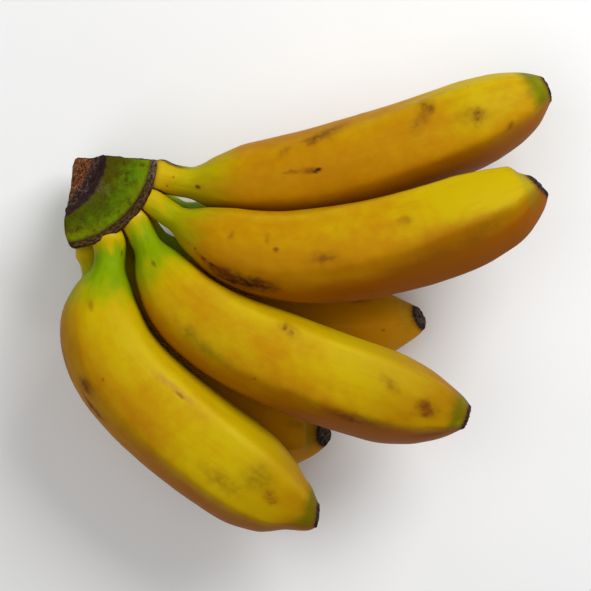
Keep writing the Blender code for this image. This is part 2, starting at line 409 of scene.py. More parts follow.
class MarkKind(Enum):
    """The kinds of blemish on a ripe peel, and one small painted highlight: colour, softness,
    raggedness and strength.
    """

    SPOT = (ink(60, 34, 12), 0.55, 0.4, 0.85)
    BRUISE = (ink(104, 56, 10), 0.85, 1.0, 0.80)
    SMUDGE = (ink(126, 80, 6), 0.98, 1.7, 0.62)
    SCAR = (ink(48, 22, 12), 0.80, 1.5, 1.00)
    RUST = (ink(110, 50, 10), 0.95, 1.8, 0.85)
    STREAK = (ink(110, 60, 8), 0.85, 1.0, 0.75)
    BLUSH = (ink(176, 116, 50), 0.95, 1.0, 0.60)
    OLIVE = (ink(108, 92, 4), 0.98, 1.8, 0.60)
    # Painted highlight: a small whitish glint on a lit corner of the neck's base.
    GLINT = (ink(196, 190, 110), 0.80, 0.5, 0.60)


@dataclass(frozen=True)
class Mark:
    """One blemish or small painted highlight: what it is, where it lies on its finger and how
    big it is.

    The place is millimetres from the root and degrees from the top towards the left,
    looking from root to tip.  The tilt turns its length towards the left.
    """

    kind: MarkKind
    along: float
    lean: float
    length: float
    width: float
    tilt: float = 0.0


@dataclass(frozen=True)
class Finger:
    """One banana: where it leaves the crown, how it bends, how big it is and how it looks.

    Headings are degrees in plan, counter-clockwise from +X, and climbs are degrees
    above level, both read from the neck to the tip.  The roll, with the twist that the
    root adds to it, turns the ridges.  Blunt keeps the last part wide, and rounded draws
    its very end in.  The end's face turns towards the left and lifts towards the top by
    the degrees given, and the last part of the finger is moved aside to the left.  The
    dry cap begins that many millimetres before the end.  Ripeness, the painted shade on
    the right flank, the painted shade near the tip, the apricot tint that is partly
    painted light, and the two greens are strengths.
    """

    node: str
    root_angle: float
    upper: bool
    headings: tuple[float, float, float, float]
    climbs: tuple[float, float, float, float]
    length: float
    girth: float
    neck: float
    roll: float
    twist: float
    blunt: float
    rounded: float
    face_turn: float
    face_lift: float
    cap: float
    ripeness: float
    flank_shade: float
    tip_shade: float
    green_neck: float
    green_tip: float
    marks: tuple[Mark, ...]
    neck_run: float = 13.0 * MM
    tip_aside: float = 0.0
    apricot_lift: float = 0.0


LOWER_CLIMBS = (-13.0, -8.0, -2.0, 1.0)
FINGERS = (
    Finger(
        "finger_upper_1", root_angle=-14.0, upper=True,
        headings=(-19.5, -2.0, 14.0, 26.0), climbs=(2.0, -3.0, -1.0, 1.0),
        length=131.7 * MM, girth=29.5 * MM, neck=9.8 * MM,
        roll=46.0, twist=6.0, blunt=0.24, rounded=0.2,
        face_turn=-3.0, face_lift=-4.0, cap=0.25,
        ripeness=1.35, flank_shade=0.9, tip_shade=0.0, green_neck=0.35, green_tip=1.0,
        marks=(
            Mark(MarkKind.SPOT, 16.4, -13, 1.7, 3.2),
            Mark(MarkKind.SPOT, 8.6, 5, 0.7, 1.5),
            Mark(MarkKind.SPOT, 7.4, -22, 0.5, 1.1),
            Mark(MarkKind.SCAR, 6.0, 51, 12.0, 6.4),
            Mark(MarkKind.SCAR, 7.4, 56, 9.0, 6.4),
            Mark(MarkKind.BRUISE, 57.6, 46, 9.0, 3.4, 16),
            Mark(MarkKind.RUST, 54.2, 42, 5.0, 3.0, 10),
            Mark(MarkKind.SMUDGE, 62.0, 50, 10.0, 5.0, 22),
            Mark(MarkKind.SMUDGE, 45.0, 34, 5.0, 2.4, 30),
            Mark(MarkKind.STREAK, 51.6, 1, 6.0, 1.7, -6),
            Mark(MarkKind.SCAR, 53.6, -1, 2.4, 1.2, -4),
            Mark(MarkKind.STREAK, 45.6, 4, 5.0, 1.0, -6),
            Mark(MarkKind.SMUDGE, 92.8, 37, 7.0, 5.0, 50),
            Mark(MarkKind.BRUISE, 93.6, 34, 3.0, 4.0, 40),
            Mark(MarkKind.SMUDGE, 89.0, 20, 7.0, 4.0, 40),
            Mark(MarkKind.SMUDGE, 106.0, 4, 6.0, 8.0, 70),
            Mark(MarkKind.BRUISE, 107.4, 3, 4.0, 3.6, 50),
            Mark(MarkKind.BRUISE, 115.6, -28, 3.2, 1.8, 40),
            Mark(MarkKind.SMUDGE, 70.0, -112, 12.0, 5.0, 10),
            Mark(MarkKind.BRUISE, 40.0, 150, 6.0, 2.4, -20),
        )),
    Finger(
        "finger_upper_2", root_angle=-29.4, upper=True,
        headings=(-38.6, -30.2, 3.7, 26.7), climbs=(16.0, 10.0, 1.0, -3.0),
        length=135.2 * MM, girth=30.4 * MM, neck=8.1 * MM,
        roll=19.0, twist=30.0, blunt=0.33, rounded=0.3,
        neck_run=14.0 * MM, tip_aside=1.3 * MM,
        face_turn=17.0, face_lift=8.0, cap=0.8,
        ripeness=1.1, flank_shade=1.6, tip_shade=0.0, green_neck=0.5, green_tip=0.45,
        marks=(
            # Painted highlight on the neck's base.
            Mark(MarkKind.GLINT, 5.6, 46, 1.2, 3.6),
            Mark(MarkKind.SCAR, 46.0, -43, 9.0, 3.6, -12),
            Mark(MarkKind.SCAR, 39.0, -44, 10.0, 5.0, -8),
            Mark(MarkKind.SCAR, 41.0, -50, 16.0, 5.0, -6),
            Mark(MarkKind.RUST, 48.0, -41, 5.0, 2.2, 10),
            Mark(MarkKind.RUST, 36.0, -41, 9.0, 3.4, -10),
            Mark(MarkKind.RUST, 30.0, -38, 5.0, 1.8, -20),
            Mark(MarkKind.SCAR, 33.0, -37, 1.6, 1.4),
            Mark(MarkKind.SPOT, 30.0, -35, 1.3, 1.1),
            Mark(MarkKind.SPOT, 26.8, -30, 0.9, 0.8),
            Mark(MarkKind.BRUISE, 50.4, 6, 1.6, 1.5, 30),
            Mark(MarkKind.STREAK, 64.3, -6, 5.0, 1.5),
            Mark(MarkKind.SMUDGE, 64.0, -6, 8.0, 3.4),
            Mark(MarkKind.SMUDGE, 47.0, 18, 1.6, 3.0),
            Mark(MarkKind.SMUDGE, 36.0, 12, 1.6, 3.4),
            Mark(MarkKind.SMUDGE, 90.0, 22, 4.0, 3.0, 12),
            Mark(MarkKind.SMUDGE, 112.0, -22, 12.0, 6.0, 10),
            Mark(MarkKind.SMUDGE, 94.0, -34, 20.0, 6.0, 6),
            Mark(MarkKind.SMUDGE, 60.0, 140, 10.0, 5.0),
        )),
    Finger(
        "finger_upper_3", root_angle=-43.4, upper=True,
        headings=(-65.0, -60.0, -25.0, -13.6), climbs=(15.0, 8.0, 0.0, -3.0),
        length=132.0 * MM, girth=30.4 * MM, neck=8.7 * MM,
        roll=46.0, twist=2.0, blunt=0.12, rounded=0.6,
        tip_aside=0.1 * MM,
        face_turn=-6.0, face_lift=3.0, cap=0.6,
        ripeness=0.68, flank_shade=1.15, tip_shade=1.25, green_neck=0.95, green_tip=0.9,
        marks=(
            # Painted highlight on the neck's base.
            Mark(MarkKind.GLINT, 5.4, 22, 1.0, 4.0),
            Mark(MarkKind.BRUISE, 117.0, 4, 4.4, 3.2, 50),
            Mark(MarkKind.BRUISE, 118.4, -4, 3.4, 3.8, -30),
            Mark(MarkKind.RUST, 118.0, 0, 6.4, 6.0),
            Mark(MarkKind.SMUDGE, 105.3, 17, 7.0, 2.8, -34),
            Mark(MarkKind.BRUISE, 68.3, 40, 1.4, 1.3),
            Mark(MarkKind.BRUISE, 71.0, 37, 1.4, 1.3),
            Mark(MarkKind.SMUDGE, 69.6, 39, 6.4, 3.2, -10),
            Mark(MarkKind.OLIVE, 51.5, -28, 12.0, 3.4, -8),
            Mark(MarkKind.OLIVE, 44.0, -24, 4.0, 4.0, -12),
            Mark(MarkKind.STREAK, 21.8, -3, 2.2, 1.5, 40),
            Mark(MarkKind.SCAR, 36.0, -72, 9.0, 3.0),
            Mark(MarkKind.RUST, 30.0, -68, 12.0, 4.0),
            Mark(MarkKind.SPOT, 27.0, -60, 1.2, 1.2),
            Mark(MarkKind.RUST, 97.0, -38, 16.0, 4.0, 4),
            Mark(MarkKind.RUST, 122.0, -48, 8.0, 3.0, 6),
            Mark(MarkKind.BRUISE, 84.0, 160, 7.0, 3.0, 25),
        )),
    Finger(
        "finger_upper_4", root_angle=-63.0, upper=True,
        headings=(-77.5, -97.5, -46.0, -31.0), climbs=(15.0, 8.0, 0.0, -3.0),
        length=124.8 * MM, girth=32.8 * MM, neck=9.9 * MM,
        roll=52.0, twist=-4.0, blunt=-0.04, rounded=1.0,
        tip_aside=2.3 * MM,
        face_turn=24.0, face_lift=0.0, cap=0.6,
        ripeness=0.53, flank_shade=0.95, tip_shade=1.25, green_neck=1.0, green_tip=0.95,
        marks=(
            # Painted highlight on the neck's base.
            Mark(MarkKind.GLINT, 5.2, 12, 1.0, 4.0),
            Mark(MarkKind.SCAR, 51.6, -62, 7.0, 1.8, 4),
            Mark(MarkKind.RUST, 47.4, -46, 5.0, 4.6, 20),
            Mark(MarkKind.BRUISE, 46.6, -48, 3.0, 3.0, 20),
            Mark(MarkKind.STREAK, 38.0, -70, 8.0, 1.8),
            Mark(MarkKind.BLUSH, 60.0, 32, 9.0, 1.8, 4),
            Mark(MarkKind.BLUSH, 68.0, 34, 8.0, 1.6, 4),
            Mark(MarkKind.BRUISE, 67.0, 32, 3.0, 1.0, 4),
            Mark(MarkKind.OLIVE, 102.0, 13, 9.0, 7.0, 30),
            Mark(MarkKind.RUST, 108.6, 2, 5.0, 3.6),
            Mark(MarkKind.SMUDGE, 94.0, -14, 12.0, 4.0),
            Mark(MarkKind.SPOT, 10.6, 46, 2.2, 2.4, 12),
            Mark(MarkKind.SMUDGE, 28.0, -12, 3.0, 2.0, 40),
            Mark(MarkKind.STREAK, 76.0, -128, 14.0, 4.0),
        )),
    Finger(
        "finger_lower_1", root_angle=-27.0, upper=False,
        headings=(-22.7, -31.9, 9.7, 12.6), climbs=LOWER_CLIMBS,
        length=106.2 * MM, girth=28.0 * MM, neck=7.4 * MM,
        roll=10.0, twist=0.0, blunt=0.0, rounded=0.6,
        face_turn=0.0, face_lift=10.0, cap=0.5,
        ripeness=0.4, flank_shade=0.6, tip_shade=0.0, green_neck=1.1, green_tip=0.5,
        marks=(
            Mark(MarkKind.SMUDGE, 60.0, 70, 8.0, 4.0, 10),
            Mark(MarkKind.BRUISE, 42.0, -120, 5.0, 2.4, 30),
            Mark(MarkKind.STREAK, 80.0, 110, 9.0, 2.4, -8),
        )),
    Finger(
        "finger_lower_2", root_angle=-39.4, upper=False,
        headings=(-56.5, -50.0, -21.8, 10.7), climbs=LOWER_CLIMBS,
        length=108.3 * MM, girth=27.1 * MM, neck=7.4 * MM,
        roll=24.0, twist=0.0, blunt=0.10, rounded=0.5,
        face_turn=10.0, face_lift=22.0, cap=0.1,
        ripeness=1.7, flank_shade=0.2, tip_shade=0.0, apricot_lift=0.75, green_neck=0.9, green_tip=0.35,
        marks=(
            Mark(MarkKind.SMUDGE, 88.0, 40, 7.0, 3.0),
            Mark(MarkKind.SPOT, 96.0, -12, 1.2, 1.0),
            Mark(MarkKind.BRUISE, 70.0, -96, 5.0, 2.0, 14),
        )),
    Finger(
        "finger_lower_3", root_angle=-56.8, upper=False,
        headings=(-80.0, -72.0, -56.0, 6.0), climbs=LOWER_CLIMBS,
        length=108.1 * MM, girth=28.0 * MM, neck=8.6 * MM,
        roll=40.0, twist=0.0, blunt=0.06, rounded=0.55,
        face_turn=-2.0, face_lift=30.0, cap=0.0,
        ripeness=1.7, flank_shade=0.35, tip_shade=0.5, apricot_lift=0.65, green_neck=0.35, green_tip=0.6,
        marks=(
            Mark(MarkKind.OLIVE, 99.0, 26, 6.0, 4.0),
            Mark(MarkKind.BRUISE, 62.0, -84, 6.0, 2.6, -12),
            Mark(MarkKind.STREAK, 48.0, -118, 12.0, 3.0, 6),
        )),
    Finger(
        "finger_lower_4", root_angle=-84.0, upper=False,
        headings=(-58.0, -81.0, -59.0, -35.0), climbs=LOWER_CLIMBS,
        length=100.0 * MM, girth=27.0 * MM, neck=8.6 * MM,
        roll=24.0, twist=0.0, blunt=0.0, rounded=0.6,
        face_turn=0.0, face_lift=10.0, cap=0.5,
        ripeness=0.7, flank_shade=0.7, tip_shade=0.0, green_neck=0.45, green_tip=0.6,
        marks=(
            Mark(MarkKind.BRUISE, 38.0, -66, 6.0, 2.6, 10),
            Mark(MarkKind.SMUDGE, 64.0, -88, 10.0, 4.0),
            Mark(MarkKind.STREAK, 52.0, -30, 8.0, 2.0),
        )),
)


@dataclass
class Crown:
    """The quarter-round block of stem: its sizes, its shape and how it is dressed."""

    node: str = "crown"
    corner: tuple[float, float] = (-73.05 * MM, 47.35 * MM)
    start_deg: float = -90.0
    end_deg: float = -5.1
    radius: float = 27.1 * MM
    longer: float = 3.0 * MM
    lean: tuple[float, float] = (-0.10, 0.015)
    top: float = 44.5 * MM
    bottom: float = 12.5 * MM
    dome: float = 1.2 * MM
    edge: float = 2.1 * MM
    side_bulge: float = 2.2 * MM
    side_bulge_skew: float = 2.4
    cut_run: tuple[float, float] = (10.5 * MM, 18.5 * MM)
    cut_set_back: float = 11.8 * MM
    cut_scoop: float = 2.7 * MM
    scar_end_width: float = 1.9 * MM
    scar_middle_width: float = 3.0 * MM
    scar_height: float = 0.75 * MM
    scar_groove: float = 0.25 * MM
    scar_fall: float = 1.1
    scar_fullness: float = 0.7
    groove_width: float = 0.5 * MM
    wall_round: float = 1.2 * MM
    side_round: float = 1.4 * MM
    cut_round: float = 0.9 * MM
    way_round_mm: float = 45.0
    heart: float = 0.52
    heart_way: tuple[float, float] = (0.75, -0.72)
    slope_step: float = 0.05 * MM
    seeds: tuple[int, int] = (11, 12)
    cells: int = 92
    solve_steps: int = 26
    solve_reach: float = 48.0 * MM

    def corner_at(self, height: Numbers) -> tuple[Numbers, Numbers]:
        """Where the crown's corner is at a height, in plan.

        Args:
            height: Heights above the surface that the hand lies on.

        Returns:
            The corner's x and y there.
        """
        drop = self.top - height
        return self.corner[0] + self.lean[0] * drop, self.corner[1] + self.lean[1] * drop

    def polar(self, points: Points) -> tuple[Numbers, Numbers, Numbers]:
        """Places as seen from the corner.

        Args:
            points: Places.

        Returns:
            The distance from the corner in plan, the share of the way round from the
            first side to the last, and the wall's radius at that share.
        """
        corner_x, corner_y = self.corner_at(points[..., 2])
        x = points[..., 0] - corner_x
        y = points[..., 1] - corner_y
        reach = np.hypot(x, y)
        angle = np.degrees(np.arctan2(y, x))
        share = (angle - self.start_deg) / (self.end_deg - self.start_deg)
        wall = self.radius + self.longer * (1 - np.clip(share, 0.0, 1.0))
        return reach, share, wall

    def scar_width(self, share: Numbers) -> Numbers:
        """How wide the scar is at some shares of the way round."""
        bow = np.sin(math.pi * np.clip(share, 0.0, 1.0))
        return self.scar_end_width + (self.scar_middle_width - self.scar_end_width) * bow

    def from_scar(self, points: Points) -> Numbers:
        """How far places are from the scar's edge, less than 0 on the scar."""
        reach, share, wall = self.polar(points)
        width = self.scar_width(share)
        drop = self.scar_fall * np.minimum(points[..., 2] - self.top, 0.0)
        return np.hypot(reach - (wall - width / 2), drop) - width / 2

    def cut_side(self, points: Points) -> Numbers:
        """How far places are outside the cut that took the hand off the stalk.

        Args:
            points: Places.

        Returns:
            The distance from the cut's hollow face, less than 0 inside the crown.
        """
        start = Vector((self.corner[0] + self.cut_run[0], self.corner[1], self.top))
        end = Vector((self.corner[0], self.corner[1] - self.cut_run[1], self.top))
        along = (end - start).normalized()
        inward = Vector((0.0, 0.0, 1.0)).cross(along).normalized()
        down = -inward * self.cut_set_back - Vector((0.0, 0.0, self.top - self.bottom))
        outward = along.cross(down.normalized()).normalized()
        if outward.dot(inward) > 0:
            outward = -outward
        offset = points - np.array((start + end) / 2)
        half = (end - start).length / 2
        sideways = offset @ np.array(along) / half
        height = np.clip((points[..., 2] - self.bottom) / (self.top - self.bottom), 0.0, 1.0)
        scoop = self.cut_scoop * (1 - sideways**2) * height
        return offset @ np.array(outward) + scoop

    def end_side(self, points: Points) -> Numbers:
        """How far places are outside the knife cut beside the first finger."""
        corner_x, corner_y = self.corner_at(points[..., 2])
        turn = math.radians(self.end_deg)
        return (points[..., 1] - corner_y) * math.cos(turn) - (
            points[..., 0] - corner_x) * math.sin(turn)

    def outside(self, points: Points) -> Numbers:
        """How far places are outside the crown, about, with its edges rounded.

        Args:
            points: Places.

        Returns:
            Less than 0 inside, more than 0 outside.
        """
        reach, share, wall = self.polar(points)
        corner_x, _ = self.corner_at(points[..., 2])
        width = self.scar_width(share)
        inner = wall - width
        dome = self.dome * np.sin(math.pi * np.clip(reach / inner, 0.0, 1.0))
        across = np.clip((reach - inner) / width, 0.0, 1.0)
        scar = self.scar_height * np.sin(math.pi * across) ** self.scar_fullness
        groove = self.scar_groove * np.exp(-((reach - inner) / self.groove_width) ** 2)
        top = points[..., 2] - (self.top + dome + scar - groove)
        skewed = np.clip(reach / wall, 0.0, 1.0) ** self.side_bulge_skew
        side = corner_x - self.side_bulge * np.sin(math.pi * skewed) - points[..., 0]
        body = self.round_off(reach - wall, top, self.wall_round)
        body = self.round_off(body, self.bottom - points[..., 2], self.edge)
        body = self.round_off(body, side, self.side_round)
        body = self.round_off(body, self.end_side(points), self.cut_round)
        return self.round_off(body, self.cut_side(points), self.cut_round)

    @staticmethod
    def round_off(one: Numbers, other: Numbers, width: float) -> Numbers:
        """The further outside of two surfaces, with the edge between them rounded.

        Args:
            one: Distances outside the first surface.
            other: Distances outside the second surface.
            width: How wide the rounding is.

        Returns:
            Distances outside both together.
        """
        near = np.maximum(width - np.abs(one - other), 0.0) / width
        return np.maximum(one, other) + near**2 * width / 4

    def slope(self, points: Points) -> Points:
        """The surface's outward directions at places on it."""
        step = self.slope_step
        here = self.outside(points)
        slopes = [self.outside(points + step * np.eye(3)[axis]) - here for axis in range(3)]
        outward = np.stack(slopes, axis=-1)
        return outward / np.linalg.norm(outward, axis=-1, keepdims=True)

    def relief(self, points: Points) -> Numbers:
        """How high the crown's rough surface stands at each place.

        Args:
            points: Places on the smooth crown.

        Returns:
            Heights along the outward direction.
        """
        reach, share, _ = self.polar(points)
        cut = fade(-0.7 * MM, -0.1 * MM, self.cut_side(points))
        knife = fade(-0.5 * MM, -0.1 * MM, self.end_side(points)) * (1 - cut)
        scar = fade(0.7 * MM, -0.3 * MM, self.from_scar(points)) * (1 - cut)
        upper_cut = cut * fade(9 * MM, 4 * MM, self.top - points[..., 2])
        coarse, fine = (Grain(seed) for seed in self.seeds)
        round_mm = np.stack([share * self.way_round_mm, reach / MM, points[..., 2] / MM], axis=-1)
        skin = 0.26 * coarse.rough(points, 7 * MM) + 0.10 * fine.rough(points, 1.8 * MM)
        fibre = 0.8 * fine.rough(points, 1.6 * MM)
        fibre = fibre + 0.7 * coarse.at(points, (1.7 * MM, 1.7 * MM, 7 * MM))
        pits = np.minimum(coarse.at(points, 1.3 * MM) + 0.2, 0.0)
        lumps = 1.5 * coarse.rough(points, 4.2 * MM)
        ropes = 0.55 * fine.at(round_mm, (1.6, 0.8, 0.8))
        ropes = ropes + 0.4 * coarse.at(round_mm, (0.6, 1.1, 1.1))
        height = skin + cut * (0.55 * fibre + 0.9 * pits) + upper_cut * lumps
        return MM * (height + knife * 0.25 * fibre + scar * 0.34 * ropes)

    def build(self) -> bpy.types.Object:
        """Makes the crown's skin.

        Returns:
            The finished piece.
        """
        mesh = bmesh.new()
        bmesh.ops.create_cube(mesh, size=2.0)
        bmesh.ops.subdivide_edges(mesh, edges=mesh.edges, cuts=self.cells, use_grid_fill=True)
        data = bpy.data.meshes.new("crown_block")
        mesh.to_mesh(data)
        mesh.free()
        rays = np.tan(read_vectors(data.vertices, "co") * math.pi / 4)
        rays /= np.linalg.norm(rays, axis=1)[:, None]
        middle_height = (self.top + self.bottom) / 2
        x, y = self.corner_at(middle_height)
        into = self.radius * self.heart
        way_x, way_y = self.heart_way
        middle = np.array([x + into * way_x, y + into * way_y, middle_height])
        near = np.zeros(len(rays))
        far = np.full(len(rays), self.solve_reach)
        for _ in range(self.solve_steps):
            half = (near + far) / 2
            out = self.outside(middle + rays * half[:, None]) > 0
            far = np.where(out, half, far)
            near = np.where(out, near, half)
        smooth = middle + rays * near[:, None]
        points = smooth + self.slope(smooth) * self.relief(smooth)[:, None]
        data.vertices.foreach_set("co", points.ravel())
        reach, share, _ = self.polar(smooth)
        add_numbers(data, "cut_mm", self.cut_side(smooth) / MM)
        add_numbers(data, "knife_mm", self.end_side(smooth) / MM)
        add_numbers(data, "scar_mm", self.from_scar(smooth) / MM)
        add_numbers(data, "drop_mm", (self.top - smooth[:, 2]) / MM)
        add_numbers(data, "reach_mm", reach / MM)
        add_numbers(data, "round_mm", share * self.way_round_mm)
        return show(data, "crown_block", self.node, StemFinish().make(self))


def read_vectors(rows: bpy.types.bpy_prop_collection, name: str) -> Points:
    """Reads a three-part value from each row of a mesh's data.

    Args:
        rows: The rows, such as a mesh's vertices.
        name: The value's name in each row.

    Returns:
        The values, one row each.
    """
    flat = np.zeros(len(rows) * 3)
    rows.foreach_get(name, flat)
    return flat.reshape(-1, 3)


def add_numbers(data: bpy.types.Mesh, name: str, values: Numbers) -> None:
    """Writes a number for each vertex.

    Args:
        data: The mesh.
        name: What the shader calls it.
        values: The numbers.
    """
    data.attributes.new(name, "FLOAT", "POINT").data.foreach_set("value", values.ravel())


def show(data: bpy.types.Mesh, name: str, node: str,
         material: bpy.types.Material) -> bpy.types.Object:
    """Puts a finished mesh in the scene, in place of its solid.

    Args:
        data: The mesh, in place.
        name: The piece's name.
        node: The solid that it stands for.
        material: Its finish.

    Returns:
        The piece.
    """
    data.shade_smooth()
    data.materials.clear()
    data.materials.append(material)
    piece = bpy.data.objects.new(name, data)
    bpy.context.scene.collection.objects.link(piece)
    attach(piece, BODY)
    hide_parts(node)
    return piece


class Sweep:
    """A finger's centre line and its free width, before its neighbours press on it."""

    FINE_STEPS = 400
    SPINE_STEPS = 48
    ROOT_RADIUS = 25.0 * MM
    UPPER_ROOT_HEIGHT = 36.3 * MM
    LOWER_ROOT_HEIGHT = 20.5 * MM
    REST_DIP = 0.45 * MM
    SWELL = 0.21
    TAPER = 0.205
    FULLEST = 0.55
    TIP_WIDTH = 9.3 * MM
    ASIDE_FROM = 0.90
    FILLING = ((0.35, 0.45), (0.7, 0.78), (1.25, 0.92))
    NARROWING = ((1.0, 0.95), (0.55, 0.78), (0.25, 0.52))
    HEADING_STOPS = (0.0, 0.15, 0.45, 1.0)
    CLIMB_STOPS = (0.0, 0.2, 0.5, 1.0)

    def __init__(self, finger: Finger, crown: Crown, stations: Numbers) -> None:
        """Works out the centre line.

        Args:
            finger: The finger.
            crown: What it grows from.
            stations: Where its cross-sections are, as shares of its length.
        """
        self.finger = finger
        self.share = stations
        fine = np.linspace(0.0, 1.0, self.FINE_STEPS + 1)
        heading = np.radians(smooth_through(self.HEADING_STOPS, finger.headings, fine))
        climb = np.radians(smooth_through(self.CLIMB_STOPS, finger.climbs, fine))
        level = np.cos(climb)
        ahead = np.stack([level * np.cos(heading), level * np.sin(heading), np.sin(climb)], axis=1)
        steps = (ahead[1:] + ahead[:-1]) / 2 * finger.length / self.FINE_STEPS
        line = self.root(crown) + np.concatenate([np.zeros((1, 3)), np.cumsum(steps, axis=0)])
        aside = finger.tip_aside * fade(self.ASIDE_FROM, 1.0, fine)
        line[:, 0] -= aside * np.sin(heading)
        line[:, 1] += aside * np.cos(heading)
        spine = np.linspace(0.0, 1.0, self.SPINE_STEPS + 1)
        self.spine = self.read(line, fine, spine)
        self.spine_half = self.half_width(spine * finger.length)
        if not finger.upper:
            lowest = (self.spine[:, 2] - self.spine_half).min()
            line[:, 2] -= lowest + self.REST_DIP
            self.spine[:, 2] -= lowest + self.REST_DIP
        self.centre = self.read(line, fine, stations)
        self.ahead = self.read(ahead, fine, stations)
        self.ahead /= np.linalg.norm(self.ahead, axis=1)[:, None]
        self.half = self.half_width(stations * finger.length)

    def root(self, crown: Crown) -> Points:
        """The centre line's first point, just inside the crown's wall."""
        height = self.UPPER_ROOT_HEIGHT if self.finger.upper else self.LOWER_ROOT_HEIGHT
        angle = math.radians(self.finger.root_angle)
        x, y = crown.corner_at(height)
        reach = self.ROOT_RADIUS
        return np.array([x + reach * math.cos(angle), y + reach * math.sin(angle), height])

    @staticmethod
    def read(line: Points, fine: Numbers, at: Numbers) -> Points:
        """A line's points, or its directions, at some shares of its length."""
        return np.stack([np.interp(at, fine, line[:, axis]) for axis in range(3)], axis=1)

    def half_width(self, along: Numbers) -> Numbers:
        """Half the finger's width.

        Args:
            along: Distances from its root.

        Returns:
            Half the width at each of them.
        """
        length = self.finger.length
        full = self.finger.girth / 2
        neck = self.finger.neck / 2
        stops = [0.0, self.finger.neck_run]
        widths = [neck, neck]
        for share, filled in self.FILLING:
            stops.append(self.finger.neck_run + share * self.SWELL * length)
            widths.append(neck + filled * (full - neck))
        stops.append(self.FULLEST * length)
        widths.append(full)
        for share, left in self.NARROWING:
            stops.append(length * (1 - share * self.TAPER))
            widths.append((left + self.finger.blunt * (1 - left)) * full)
        stops.append(length)
        widths.append(self.TIP_WIDTH / 2)
        return smooth_through(stops, widths, along)


